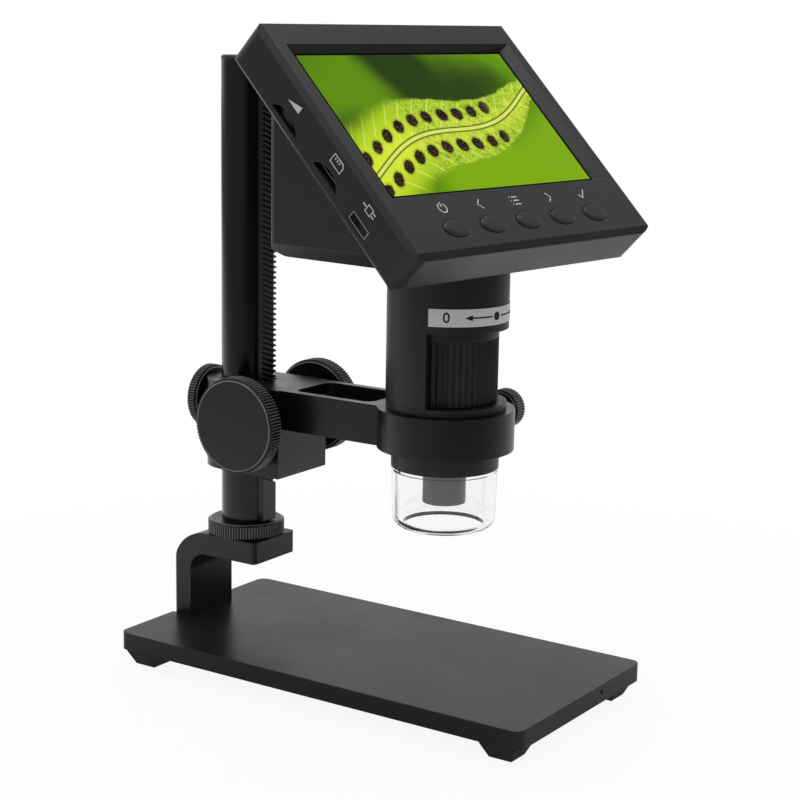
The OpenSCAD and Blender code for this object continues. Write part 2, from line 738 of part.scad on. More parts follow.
module arm_screws() color([0.25, 0.25, 0.26]) for (s = [-1, 1])
    translate([s * arm_screw_x, arm_back_y - arm_seat_t, block_top - arm_h / 2]) rotate([-90, 0, 0])
        difference() {
            union() {
                translate([0, 0, -arm_head_h]) cylinder(h = arm_head_h, d = arm_head_d);
                cylinder(h = arm_seat_t + arm_screw_bite, d = arm_screw_d);
            }
            translate([0, 0, -arm_head_h - cut]) cylinder(h = cut + 1.8, d = 3.4, $fn = 6);
        }

module ring_thumbscrew() color([0.10, 0.10, 0.11]) at_clamp() {
    head_in = clamp_out - clamp_t;
    translate([0, 0, neck_r + clamp_tip_gap]) cylinder(h = head_in - neck_r, d = clamp_screw_d);
    translate([0, 0, ring_r + clamp_hub_gap]) cylinder(h = head_in - ring_r - clamp_hub_gap, d = clamp_hub_d);
    translate([0, 0, head_in]) knurled_disc(clamp_d / 2, clamp_t, 44, 0.35);
}

// ---------- pinion and knobs ----------

// Half of a tooth's angle at radius r, from the involute's rule
function involute(a) = tan(a) * 180 / PI - a;
function tooth_half(r) =
    let (half_pitch = (rack_pitch / 4 - rack_backlash / 4) / pitch_r * 180 / PI)
    half_pitch + involute(pressure_angle) - (r > pinion_base_r ? involute(acos(pinion_base_r / r)) : 0);

module pinion_section() {
    radii = [pinion_root_r, pinion_base_r, pitch_r, (pitch_r + pinion_tip_r) / 2, pinion_tip_r];
    flank = [for (r = radii) [r, tooth_half(r)]];
    back = [for (i = [len(flank) - 1:-1:0]) flank[i]];
    polygon([for (t = [0:pinion_teeth - 1])
        let (a = t * 360 / pinion_teeth)
        each concat(
            [for (f = flank) [f[0] * cos(a - f[1]), f[0] * sin(a - f[1])]],
            [for (f = back) [f[0] * cos(a + f[1]), f[0] * sin(a + f[1])]])]);
}

module pinion_gear() color([0.72, 0.60, 0.32]) at_shaft() {
    twist_angle = pinion_w * tan(rack_slope) / pitch_r * 180 / PI;
    rotate([90, 0, 90]) difference() {
        rotate([0, 0, twist_angle / 2])
            linear_extrude(pinion_w, center = true, twist = twist_angle, slices = 10) pinion_section();
        cylinder(h = pinion_w + 2 * cut, d = shaft_d + 2 * thread_fit, center = true);
    }
}

module pinion_shaft() color([0.60, 0.60, 0.62]) at_shaft() rotate([0, 90, 0])
    cylinder(h = 2 * (knob_out - knob_cap_t), d = shaft_d, center = true);

// A focus knob, drawn along +Z from the block outwards
module focus_knob() {
    difference() {
        union() {
            translate([0, 0, hub_in]) cylinder(h = knob_in - hub_in, d = hub_d);
            translate([0, 0, knob_in]) knurled_disc(knob_d / 2, knob_t, knob_ribs, knob_rib_h);
        }
        cylinder(h = knob_out - knob_cap_t, d = shaft_d + 2 * thread_fit);
        translate([0, 0, (hub_in + knob_in) / 2]) rotate([0, 90, 0])
            cylinder(h = hub_d, d = set_screw_d + 2 * thread_fit);
    }
}

module focus_knob_left() color([0.12, 0.12, 0.13]) at_shaft() rotate([0, -90, 0]) focus_knob();
module focus_knob_right() color([0.12, 0.12, 0.13]) at_shaft() rotate([0, 90, 0]) focus_knob();

module knob_set_screws() color([0.35, 0.35, 0.37]) at_shaft() for (s = [-1, 1])
    rotate([0, s * 90, 0]) translate([shaft_d / 2 + thread_fit, 0, (hub_in + knob_in) / 2]) rotate([0, 90, 0])
        difference() {
            cylinder(h = set_screw_l, d = set_screw_d);
            translate([0, 0, set_screw_l - 1.2]) cylinder(h = cut + 1.2, d = 1.5, $fn = 6);
        }

module tension_knob() color([0.11, 0.11, 0.12]) at_post() translate([0, 0, tension_z]) rotate([-90, 0, 0]) {
    translate([0, 0, tension_out]) knurled_disc(tension_d / 2, tension_t, 72, 0.4);
    translate([0, 0, post_r + tension_pad_t + run_fit])
        cylinder(h = tension_out - post_r - tension_pad_t - run_fit, d = tension_screw_d);
}

// ---------- display head ----------

// Slab between depths z0 and z1 with rounded corners and its four long edges cut off
module case_slab(z0, z1, front_cut, back_cut) {
    intersection() {
        translate([0, case_mid, z0]) linear_extrude(z1 - z0) rounded_rect(case_w, case_h, case_corner_r);
        along_y(2 * case_w) slab_side(case_w, 0, z0, z1, front_cut, back_cut);
        along_x(2 * case_w) slab_side(case_h, case_mid, z0, z1, front_cut, back_cut);
    }
}

module slab_side(w, mid, z0, z1, front_cut, back_cut) {
    translate([mid, 0]) polygon([
        [-w / 2 + back_cut, z0], [w / 2 - back_cut, z0],
        [w / 2, z0 + back_cut], [w / 2, z1 - front_cut],
        [w / 2 - front_cut, z1], [-w / 2 + front_cut, z1],
        [-w / 2, z1 - front_cut], [-w / 2, z0 + back_cut]]);
}

module case_bosses(z0, z1, r) {
    for (x = [-1, 1], y = [boss_up, -boss_down]) translate([x * boss_x, y, z0]) cylinder(h = z1 - z0, r = r);
}

// Outline on the side face with a straight back edge and an arched front edge
module scoop(up, half, back, front) {
    rise = back - front;
    arc_r = (half * half + rise * rise) / (2 * rise);
    intersection() {
        translate([up, -front - arc_r]) circle(arc_r);
        translate([up - half - cut, -back]) square([2 * half + 2 * cut, rise + cut]);
    }
}

// Cross-section of the window: as wide as the display at the back, wider at the front
module window_side(half, slope) {
    rise = cut * slope / case_lip;
    polygon([[-half, -cut], [half, -cut], [half, 0], [half + slope + rise, case_lip + cut],
        [-half - slope - rise, case_lip + cut], [-half, 0]]);
}

module front_bezel() color([0.13, 0.13, 0.14]) at_screen() {
    difference() {
        case_slab(-case_back, case_lip, front_bevel, 0);
        difference() {
            translate([0, case_mid, -case_back - cut]) linear_extrude(case_back + cut)
                rounded_rect(case_w - 2 * case_wall, case_h - 2 * case_wall, case_corner_r - case_wall);
            case_bosses(-case_back - 2 * cut, 2 * cut, boss_r);
        }
        intersection() {
            along_y(case_h) window_side(view_w / 2, view_side_slope);
            along_x(case_w) window_side(view_h / 2, view_end_slope);
        }
        for (x = key_x) translate([x, -key_down, -cut]) linear_extrude(case_lip + 2 * cut)
            oval(key_w + 2 * soft_gap, key_h + 2 * soft_gap);
        translate([-case_r, 0, 0]) {
            along_x(2 * case_wall + cut) scoop(wheel_up, pocket_half, pocket_back, pocket_front);
            along_x(2 * case_wall + cut) scoop(card_up, card_half, card_back, card_front);
            translate([0, usb_up, -board_front + usb_t / 2])
                cube([2 * case_wall + cut, usb_w + 2 * port_fit, usb_t + 2 * port_fit], center = true);
        }
        // room inside the wall for the wheel's rim
        translate([wheel_x, wheel_up, -wheel_back])
            cylinder(h = wheel_t + 2 * wheel_room, r = wheel_r + wheel_room, center = true);
        case_bosses(-case_back - cut, -case_back + case_screw_l, case_screw_d / 2 + thread_fit);
    }
}

// Where the rear housing's front plane meets a given height or a given depth
function back_up_at_y(y) = (y - screen_back - case_back * sin(screen_tilt)) / cos(screen_tilt);
function back_up_at_z(z) = (z - screen_z + case_back * cos(screen_tilt)) / sin(screen_tilt);
function face_point(up, out) = [
    screen_back + up * cos(screen_tilt) - out * sin(screen_tilt),
    screen_z + up * sin(screen_tilt) + out * cos(screen_tilt)];

// Side view of the wedge behind the display; inset shrinks it, ahead draws it forwards
module wedge_side(inset, ahead) {
    zb = tube_top + inset;
    yb = wedge_back - inset;
    top = face_point(back_up_at_y(wedge_back) - 1.8 * inset, -case_back);
    low = face_point(back_up_at_z(tube_top) + 1.8 * inset, -case_back);
    top_ahead = face_point(back_up_at_y(wedge_back) - 1.8 * inset, -case_back + ahead);
    low_ahead = face_point(back_up_at_z(tube_top) + 1.8 * inset, -case_back + ahead);
    big = 2 * case_h;
    round_r = wedge_edge_r - inset;
    intersection() {
        polygon([top_ahead, low_ahead, low, [low[0], zb], [yb, zb], [yb, top[1]], top]);
        union() {
            translate([-big, zb]) square([big + yb - round_r, big]);
            translate([-big, zb + round_r]) square([big + yb, big]);
            translate([yb - round_r, zb + round_r]) circle(round_r);
        }
    }
}

// Wedge solid: side view, chamfered front view and rounded plan view, cut against each other
module wedge(inset, ahead) {
    w = wedge_w - 2 * inset;
    zb = tube_top + inset;
    big = 2 * case_h;
    round_r = wedge_edge_r - inset;
    intersection() {
        along_x(w) wedge_side(inset, ahead);
        along_y(big) polygon([
            [-w / 2 + wedge_chamfer_x, zb], [w / 2 - wedge_chamfer_x, zb], [w / 2, zb + wedge_chamfer_z],
            [w / 2, zb + big], [-w / 2, zb + big], [-w / 2, zb + wedge_chamfer_z]]);
        translate([0, 0, zb - cut]) linear_extrude(big) {
            translate([-w / 2, -big]) square([w, big + wedge_back - inset - round_r]);
            translate([-w / 2 + round_r, -big]) square([w - 2 * round_r, big + wedge_back - inset]);
            for (s = [-1, 1]) translate([s * (w / 2 - round_r), wedge_back - inset - round_r])
                circle(round_r);
        }
    }
}

module rear_housing() color([0.13, 0.13, 0.14]) difference() {
    union() {
        at_screen() case_slab(rear_z, -case_back, 0, back_bevel);
        at_scope() wedge(0, 0);
    }
    at_scope() wedge(case_wall, plate_t * 3);
    at_scope() translate([0, 0, tube_top - cut]) cylinder(h = case_wall + 2 * cut, r = cable_hole_r);
    at_screen() {
        case_bosses(rear_z - cut, -case_back + cut, case_screw_d / 2 + end_gap);
        case_bosses(rear_z - cut, rear_z + case_screw_head_h + 0.1, case_screw_head_d / 2 + end_gap);
    }
}

module display_glass() color([0.25, 0.45, 0.05]) at_screen() translate([0, 0, -glass_t])
    linear_extrude(glass_t) square([panel_w, panel_h], center = true);

module display_frame() color([0.6, 0.6, 0.62]) at_screen() translate([0, 0, -glass_t - frame_t])
    linear_extrude(frame_t) square([panel_w, panel_h], center = true);

module main_board() color([0.05, 0.25, 0.12]) at_screen() translate([0, 0, -case_back]) difference() {
    linear_extrude(board_t) difference() {
        union() {
            translate([-case_r + board_inset, -case_down + case_wall + board_gap])
                square([case_w - 2 * board_inset, case_h - 2 * (case_wall + board_gap)]);
            translate([-case_r + case_wall + board_gap, usb_up - usb_w]) square([board_tab_w, board_tab_l]);
        }
        for (x = [-1, 1], y = [boss_up, -boss_down]) translate([x * boss_x, y]) circle(boss_r + 0.3);
    }
}

module key_switches() color([0.75, 0.75, 0.76]) at_screen() for (x = key_x)
    translate([x, -key_down, -board_front]) {
        switch_h = board_front - key_back - switch_gap;
        linear_extrude(switch_h - plunger_h) square(switch_w, center = true);
        cylinder(h = switch_h, r = plunger_r);
    }

module battery() color([0.75, 0.76, 0.78]) at_scope()
    translate([-battery_w / 2, wedge_back - case_wall - battery_t, tube_top + wedge_edge_r])
        cube([battery_w, battery_t, battery_h]);

module brightness_pot() color([0.2, 0.2, 0.22]) at_screen() translate([wheel_x, wheel_up, -board_front]) {
    cylinder(h = board_front - wheel_back - wheel_t / 2 - seat_gap, r = pot_r);
    cylinder(h = board_front - wheel_back + wheel_t / 2, r = wheel_pin_r);
}

module card_socket() color([0.7, 0.7, 0.72]) at_screen()
    translate([-case_r + case_wall + 0.1, card_up - card_half, -board_front]) difference() {
        cube([card_l, 2 * card_half, card_t]);
        translate([-cut, 2 * socket_wall, socket_wall])
            cube([card_l - socket_wall + cut, 2 * card_half - 4 * socket_wall, card_t - 2 * socket_wall]);
    }

module power_socket() color([0.7, 0.7, 0.72]) at_screen()
    translate([-case_r + 0.4, usb_up - usb_w / 2, -board_front]) difference() {
        cube([usb_l, usb_w, usb_t]);
        translate([-cut, socket_wall, socket_wall])
            cube([usb_l - socket_wall + cut, usb_w - 2 * socket_wall, usb_t - 2 * socket_wall]);
    }

module housing_screws() color([0.3, 0.3, 0.32]) at_screen() for (x = [-1, 1], y = [boss_up, -boss_down])
    translate([x * boss_x, y, rear_z + 0.1]) difference() {
        union() {
            cylinder(h = case_screw_head_h, d = case_screw_head_d);
            cylinder(h = plate_t + case_screw_l - 0.6, d = case_screw_d);
        }
        cross_recess(0, 0.5);
    }

// ---------- microscope tube ----------

module barrel_shell() color([0.12, 0.12, 0.13]) at_scope() difference() {
    rotate_extrude($fn = 128) polygon([
        [neck_r, neck_z0], [neck_r, flange_z], [flange_r, flange_z], [flange_r, window_z0],
        [tube_r, window_z0], [tube_r, tube_top], [tube_r - shell_wall, tube_top],
        [tube_r - shell_wall, window_z1 + web_t], [guide_r + run_fit, window_z1 + web_t],
        [guide_r + run_fit, window_z1], [window_wall_r, window_z1], [window_wall_r, window_z0],
        [ledge_r, window_z0], [ledge_r, ledge_z], [socket_r, ledge_z], [socket_r, neck_z0]]);
    translate([0, 0, window_z0]) linear_extrude(window_h) difference() {
        front_sector(window_half, 2 * tube_r);
        circle(window_wall_r - 1);
    }
}

module scale_band() color([0.85, 0.85, 0.86]) at_scope() translate([0, 0, band_z]) difference() {
    linear_extrude(band_h) intersection() {
        circle(tube_r + band_t, $fn = 128);
        front_sector(band_half, 2 * tube_r);
    }
    translate([0, 0, -cut]) cylinder(h = band_h + 2 * cut, r = tube_r, $fn = 128);
}

module sensor_board() color([0.05, 0.25, 0.12]) at_scope() translate([0, 0, window_z1 + web_t]) {
    cylinder(h = sensor_board_t, r = tube_r - shell_wall - 0.3);
    translate([0, 0, -sensor_chip_t]) linear_extrude(sensor_chip_t) square(sensor_chip, center = true);
}

module sensor_cable() color([0.75, 0.55, 0.2]) at_scope() {
    z0 = window_z1 + web_t + sensor_board_t;
    end = face_point(back_up_at_y(0), -case_back);
    translate([-cable_w / 2, -cable_t / 2, z0]) cube([cable_w, cable_t, end[1] - z0 - cable_t]);
}

module lens_guide() color([0.16, 0.16, 0.17]) at_scope() difference() {
    guide_z0 = ledge_z - guide_flange_t;
    guide_z1 = window_z1 + web_t - sensor_chip_t - end_gap;
    slot_h = lens_travel + 2 * (pin_r + pin_gap);
    union() {
        translate([0, 0, guide_z0]) cylinder(h = guide_flange_t, r = socket_r - run_fit);
        translate([0, 0, guide_z0]) cylinder(h = guide_z1 - guide_z0, r = guide_r);
    }
    translate([0, 0, guide_z0 - cut]) cylinder(h = guide_z1 - guide_z0 + 2 * cut, r = lens_r + run_fit);
    translate([-pin_r - pin_gap, -guide_r - cut, pin_z - slot_h / 2])
        cube([2 * (pin_r + pin_gap), guide_r + cut, slot_h]);
}

module led_board() color([0.9, 0.9, 0.88]) at_scope()
    translate([0, 0, ledge_z - guide_flange_t - led_board_t]) difference() {
        cylinder(h = led_board_t, r = socket_r - run_fit);
        translate([0, 0, -cut]) cylinder(h = led_board_t + 2 * cut, r = lens_r + 0.4);
    }

module leds() color([0.95, 0.93, 0.75]) at_scope()
    translate([0, 0, ledge_z - guide_flange_t - led_board_t - led_h]) for (i = [0:led_count - 1])
        rotate([0, 0, (i + 0.5) * 360 / led_count]) translate([led_ring_r, 0, 0])
            cylinder(h = led_h, r = led_r);

// Ribbed ring that turns on the lens guide; a sloping slot inside it drives the lens tube's pin
module focus_ring() color([0.10, 0.10, 0.11]) at_scope() {
    z0 = window_z0 + focus_gap;
    h = window_h - 2 * focus_gap;
    slot_h = lens_travel + 2 * (pin_r + pin_gap);
    slot_turn = focus_turn * slot_h / lens_travel;
    rise = lens_travel / (focus_turn * PI / 180);
    in_r = guide_r - 0.2;
    out_r = pin_reach + 0.5;
    half = asin((pin_r + pin_gap) / (sin(atan(rise / out_r)) * out_r)) + 1;
    difference() {
        union() {
            translate([0, 0, z0]) linear_extrude(h - focus_band_h)
                ribbed_disc(focus_r, focus_ribs, focus_rib_h);
            translate([0, 0, z0 + h - focus_band_h]) cylinder(h = focus_band_h, r = focus_r + rib_step);
        }
        translate([0, 0, z0 - cut]) cylinder(h = h + 2 * cut, r = guide_r + run_fit);
        translate([0, 0, pin_z - slot_h / 2]) rotate([0, 0, slot_turn / 2])
            linear_extrude(slot_h, twist = slot_turn, slices = 40) difference() {
                front_sector(half, out_r);
                circle(in_r);
            }
    }
}

module lens_tube() color([0.32, 0.32, 0.33]) at_scope() difference() {
    rotate_extrude($fn = 96) polygon([
        [lens_r, lens_z0], [lens_r, lens_z1], [lens_r - lens_wall, lens_z1],
        [lens_r - lens_wall, lens_z1 - rear_bay_h], [lens_r - lens_wall - 0.5, lens_z1 - rear_bay_h],
        [lens_r - lens_wall - 0.5, lens_z0 + lens_bay_h], [lens_r - lens_wall, lens_z0 + lens_bay_h],
        [lens_r - lens_wall, lens_z0 + lens_lip], [lens_r - lens_wall - 0.9, lens_z0 + lens_lip],
        [lens_r - lens_wall - 0.9, lens_z0]]);
    translate([0, 0, pin_z]) rotate([90, 0, 0]) cylinder(h = lens_r + cut, r = pin_r + thread_fit);
}

module lens_elements() color([0.75, 0.85, 0.9]) at_scope() {
    translate([0, 0, lens_z0 + lens_lip]) cylinder(h = front_lens_t, r = lens_r - lens_wall - thread_fit);
    translate([0, 0, lens_z1 - rear_bay_h]) cylinder(h = rear_lens_t, r = lens_r - lens_wall - thread_fit);
}

module lens_drive_pin() color([0.7, 0.7, 0.72]) at_scope() translate([0, -lens_r + lens_wall, pin_z])
    rotate([90, 0, 0]) cylinder(h = pin_reach - lens_r + lens_wall, r = pin_r);

// Clear shroud: a short neck in the barrel, a tapered wall and a rounded lower rim
module clear_shroud() color([0.85, 0.9, 0.92, 0.35]) at_scope() rotate_extrude($fn = 128) difference() {
    collar_r = socket_r - 2 * run_fit;
    union() {
        shroud_outline(0);
        translate([0, shroud_top - cut]) square([collar_r, shroud_neck_h + cut]);
    }
    shroud_outline(shroud_wall);
    square([shroud_hole_r, shroud_top]);
    translate([0, shroud_top - 2 * cut]) square([collar_r - shroud_wall, shroud_neck_h + 4 * cut]);
}

module shroud_outline(inset) {
    low_r = shroud_r - shroud_taper;
    corner_z = shroud_z0 + shroud_corner_r;
    round_r = shroud_corner_r - inset;
    top_z = shroud_top - inset;
    polygon([[0, corner_z], [low_r - inset, corner_z], [shroud_r - inset, top_z], [0, top_z]]);
    translate([0, shroud_z0 + inset]) square([low_r - shroud_corner_r, shroud_corner_r]);
    intersection() {
        translate([low_r - shroud_corner_r, corner_z]) circle(round_r);
        translate([0, shroud_z0]) square([low_r, shroud_corner_r + 0.01]);
    }
}

// ---------- keys and brightness wheel ----------

module key(i) color([0.09, 0.09, 0.10]) at_screen() translate([key_x[i], -key_down, 0]) {
    skirt_z = -soft_gap - key_skirt_t;
    step_z = case_lip + key_rise / 2;
    top_z = case_lip + key_rise;
    translate([0, 0, -key_back]) cylinder(h = key_back + skirt_z + key_skirt_t / 2, d = key_stem);
    translate([0, 0, skirt_z]) linear_extrude(key_skirt_t) oval(key_w + 2 * key_skirt, key_h + 2 * key_skirt);
    translate([0, 0, skirt_z]) linear_extrude(step_z - skirt_z) oval(key_w, key_h);
    translate([0, 0, skirt_z]) linear_extrude(top_z - key_rise / 6 - skirt_z) oval(key_w - 1, key_h - 1);
    translate([0, 0, skirt_z]) linear_extrude(top_z - skirt_z) oval(key_w - 2.4, key_h - 2.4);
}

module button_power() { key(0); }
module button_left() { key(1); }
module button_menu() { key(2); }
module button_right() { key(3); }
module button_ok() { key(4); }

module brightness_wheel() color([0.08, 0.08, 0.09]) at_screen()
    translate([wheel_x, wheel_up, -wheel_back - wheel_t / 2]) difference() {
        linear_extrude(wheel_t) ribbed_disc(wheel_r, 60, 0.35);
        translate([0, 0, -cut]) cylinder(h = wheel_t + 2 * cut, r = wheel_pin_r + run_fit);
    }

base_plate();
foot_front_left();
foot_front_right();
foot_back_left();
foot_back_right();
foot_screws();
column_bracket();
bracket_screws();
column_washer();
post();
rack();
rack_screws();
post_cap();
column_bolt();
collar_nut();
carriage_block();
post_bushings();
shaft_bushings();
tension_pad();
support_arm();
arm_screws();
ring_thumbscrew();
pinion_gear();
pinion_shaft();
focus_knob_left();
focus_knob_right();
knob_set_screws();
tension_knob();
front_bezel();
rear_housing();
display_glass();
display_frame();
main_board();
key_switches();
battery();
brightness_pot();
card_socket();
power_socket();
housing_screws();
barrel_shell();
scale_band();
sensor_board();
sensor_cable();
lens_guide();
led_board();
leds();
focus_ring();
lens_tube();
lens_elements();
lens_drive_pin();
clear_shroud();
button_power();
button_left();
button_menu();
button_right();
button_ok();
brightness_wheel();
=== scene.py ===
import json
import math

import bpy
from mathutils import Euler, Matrix, Vector


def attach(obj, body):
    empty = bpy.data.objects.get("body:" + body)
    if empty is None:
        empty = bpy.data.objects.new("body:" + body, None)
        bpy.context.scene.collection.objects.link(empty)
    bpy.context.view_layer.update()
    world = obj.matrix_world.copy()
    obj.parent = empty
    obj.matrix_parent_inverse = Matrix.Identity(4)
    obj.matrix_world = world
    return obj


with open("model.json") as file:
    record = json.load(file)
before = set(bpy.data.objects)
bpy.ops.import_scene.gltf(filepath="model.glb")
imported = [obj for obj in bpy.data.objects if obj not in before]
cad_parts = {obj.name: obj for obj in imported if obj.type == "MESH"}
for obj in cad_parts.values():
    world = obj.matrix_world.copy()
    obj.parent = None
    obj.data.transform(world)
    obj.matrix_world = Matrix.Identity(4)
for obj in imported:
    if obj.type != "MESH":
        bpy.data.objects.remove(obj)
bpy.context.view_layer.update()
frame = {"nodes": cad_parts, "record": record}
cad = frame["nodes"]
joints = {joint["name"]: joint for joint in frame["record"]["behaviour"]["joints"]}
mm = 0.001
# points of a drawn outline that are closer than this many millimetres become one
weld = 0.001
print("frame loaded:", len(cad), "nodes")

# the display and the barrel share one turn in the ring; the display is tilted on top of it
head = {"turn": -7.0, "tilt": 45.0, "screenBack": 1.0, "screenHeight": 189.45}
barrelX, barrelY = joints["scope_swivel"]["pos_m"][:2]
headMatrix = Matrix.Translation((barrelX, barrelY, 0)) @ Matrix.Rotation(
    math.radians(head["turn"]), 4, "Z"
)
screenMatrix = (
    headMatrix
    @ Matrix.Translation((0, head["screenBack"] * mm, head["screenHeight"] * mm))
    @ Matrix.Rotation(math.radians(head["tilt"]), 4, "X")
)


def deselectAll():
    if bpy.context.object and bpy.context.object.mode != "OBJECT":
        bpy.ops.object.mode_set(mode="OBJECT")
    bpy.ops.object.select_all(action="DESELECT")


def activate(obj):
    deselectAll()
    obj.select_set(True)
    bpy.context.view_layer.objects.active = obj


def placeBy(obj, matrix):
    # the piece was modelled flat at the origin; its place goes into its mesh
    activate(obj)
    obj.matrix_world = matrix @ obj.matrix_world
    bpy.ops.object.transform_apply(location=True, rotation=True, scale=True)


def joinAll(objs, name):
    activate(objs[0])
    for obj in objs:
        obj.select_set(True)
    bpy.ops.object.join()
    whole = bpy.context.view_layer.objects.active
    whole.name = name
    whole.data.name = name
    return whole


def paint(obj, material):
    obj.data.materials.clear()
    obj.data.materials.append(material)


def finishPiece(obj, body, material):
    paint(obj, material)
    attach(obj, body)


def drawOut(points, level=0.0, closed=False):
    # one vertex is drawn out from point to point; the line is left in edit mode
    deselectAll()
    bpy.ops.mesh.primitive_plane_add(size=mm, location=(0, 0, 0))
    bpy.ops.object.mode_set(mode="EDIT")
    bpy.ops.mesh.select_all(action="SELECT")
    bpy.ops.mesh.merge(type="CENTER")
    last = Vector((*points[0], level)) * mm
    bpy.ops.transform.translate(value=last)
    for point in points[1:] + (points[:1] if closed else []):
        place = Vector((*point, level)) * mm
        bpy.ops.mesh.extrude_region_move(TRANSFORM_OT_translate={"value": place - last})
        last = place
    bpy.ops.mesh.select_all(action="SELECT")
    bpy.ops.mesh.remove_doubles(threshold=weld * mm)
    bpy.ops.mesh.select_all(action="SELECT")


def penLine(points, width, closed=False, press=0.14):
    # a printed line: a drawn line with a round section that is pressed flat
    drawOut(points, closed=closed)
    bpy.ops.object.mode_set(mode="OBJECT")
    bpy.ops.object.convert(target="CURVE")
    curve = bpy.context.object.data
    curve.bevel_depth = width / 2 * mm
    curve.bevel_resolution = 2
    curve.use_fill_caps = True
    bpy.ops.object.convert(target="MESH")
    obj = bpy.context.object
    obj.scale = (1, 1, press)
    bpy.ops.object.transform_apply(location=False, rotation=False, scale=True)
    return obj


def inkShape(points, halfThick):
    # a filled printed shape with the given outline
    drawOut(points, level=-halfThick, closed=True)
    bpy.ops.mesh.edge_face_add()
    bpy.ops.mesh.extrude_region_move(
        TRANSFORM_OT_translate={"value": (0, 0, 2 * halfThick * mm)}
    )
    bpy.ops.mesh.select_all(action="SELECT")
    bpy.ops.mesh.normals_make_consistent(inside=False)
    bpy.ops.object.mode_set(mode="OBJECT")
    return bpy.context.object


def arcPoints(radius, start, end, steps):
    angles = [math.radians(start + (end - start) * i / steps) for i in range(steps + 1)]
    return [(radius * math.cos(angle), radius * math.sin(angle)) for angle in angles]


def shifted(obj, x, y):
    obj.location = (x * mm, y * mm, 0)
    activate(obj)
    bpy.ops.object.transform_apply(location=True, rotation=True, scale=True)
    return obj


def feed(tree, socket, value):
    # a socket takes another node's output or a constant; a colour is given without its alpha
    if isinstance(value, bpy.types.NodeSocket):
        tree.links.new(value, socket)
    elif socket.type == "RGBA":
        socket.default_value = (*value, 1)
    else:
        socket.default_value = value


def addNode(tree, kind, settings=None, **inputs):
    # an underscore in an input's name stands for a space
    node = tree.nodes.new(kind)
    for key, value in (settings or {}).items():
        setattr(node, key, value)
    for key, value in inputs.items():
        feed(tree, node.inputs[key.replace("_", " ")], value)
    return node


def mathNode(tree, operation, *values, clamp=False):
    node = addNode(tree, "ShaderNodeMath", {"operation": operation, "use_clamp": clamp})
    for socket, value in zip(node.inputs, values):
        feed(tree, socket, value)
    return node.outputs[0]


def vectorNode(tree, operation, *values):
    node = addNode(tree, "ShaderNodeVectorMath", {"operation": operation})
    for socket, value in zip(node.inputs, values):
        feed(tree, socket, value)
    isNumber = operation in ("DOT_PRODUCT", "LENGTH", "DISTANCE")
    return node.outputs["Value" if isNumber else "Vector"]


def mixColour(tree, factor, a, b):
    # the mix node has its colours at sockets 6 and 7, and gives the mixed one at output 2
    node = addNode(tree, "ShaderNodeMix", {"data_type": "RGBA"})
    for index, value in zip((0, 6, 7), (factor, a, b)):
        feed(tree, node.inputs[index], value)
    return node.outputs[2]


def mixShader(tree, factor, a, b):
    node = tree.nodes.new("ShaderNodeMixShader")
    for socket, value in zip(node.inputs, (factor, a, b)):
        feed(tree, socket, value)
    return node.outputs[0]


def rangeNode(tree, value, source, target=(0.0, 1.0), smooth=True):
    kind = "SMOOTHSTEP" if smooth else "LINEAR"
    node = addNode(tree, "ShaderNodeMapRange", {"interpolation_type": kind}, Value=value)
    for label, limit in zip(("From Min", "From Max", "To Min", "To Max"), (*source, *target)):
        feed(tree, node.inputs[label], limit)
    return node.outputs["Result"]


def newGroup(name, inputs, outputs):
    group = bpy.data.node_groups.new(name, "ShaderNodeTree")
    for label, kind, value in inputs:
        item = group.interface.new_socket(label, in_out="INPUT", socket_type=kind)
        item.default_value = value
    for label, kind in outputs:
        group.interface.new_socket(label, in_out="OUTPUT", socket_type=kind)
    return group, group.nodes.new("NodeGroupInput"), group.nodes.new("NodeGroupOutput")


def makeGrainGroup():
    # fine grain for bump and a slow mottle for colour and roughness
    group, start, end = newGroup(
        "surfaceGrain",
        [("Scale", "NodeSocketFloat", 4000.0), ("Mottle Scale", "NodeSocketFloat", 60.0)],
        [("Grain", "NodeSocketFloat"), ("Mottle", "NodeSocketFloat")],
    )
    place = group.nodes.new("ShaderNodeTexCoord").outputs["Object"]
    fine = addNode(group, "ShaderNodeTexNoise", Vector=place, Detail=2.0, Roughness=0.6)
    slow = addNode(group, "ShaderNodeTexNoise", Vector=place, Detail=4.0, Roughness=0.55)
    feed(group, fine.inputs["Scale"], start.outputs["Scale"])
    feed(group, slow.inputs["Scale"], start.outputs["Mottle Scale"])
    feed(group, end.inputs["Grain"], fine.outputs["Fac"])
    feed(group, end.inputs["Mottle"], slow.outputs["Fac"])
    return group


def makeEdgeGroup():
    # softened corners, and a mask that is one along them
    group, start, end = newGroup(
        "softEdge",
        [("Radius", "NodeSocketFloat", 0.0004), ("Reach", "NodeSocketFloat", 0.2)],
        [("Edge", "NodeSocketFloat"), ("Normal", "NodeSocketVector")],
    )
    bevel = addNode(group, "ShaderNodeBevel", {"samples": 6}, Radius=start.outputs["Radius"])
    flat = group.nodes.new("ShaderNodeNewGeometry")
    likeness = vectorNode(group, "DOT_PRODUCT", bevel.outputs["Normal"], flat.outputs["Normal"])
    away = mathNode(group, "SUBTRACT", 1.0, likeness)
    edge = mathNode(group, "DIVIDE", away, start.outputs["Reach"], clamp=True)
    feed(group, end.inputs["Edge"], edge)
    feed(group, end.inputs["Normal"], bevel.outputs["Normal"])
    return group


def makeFaceGroup():
    # position on the tilted display in millimetres: across, up and out of its face
    directions = ("Across", "Up", "Out")
    group, _, end = newGroup(
        "facePlace", [], [(label, "NodeSocketFloat") for label in directions]
    )
    place = group.nodes.new("ShaderNodeTexCoord").outputs["Object"]
    centre = screenMatrix.translation
    for column, label in enumerate(directions):
        axis = screenMatrix.col[column].to_3d() / mm
        along = vectorNode(group, "DOT_PRODUCT", place, axis)
        feed(group, end.inputs[label], mathNode(group, "SUBTRACT", along, centre.dot(axis)))
    return group


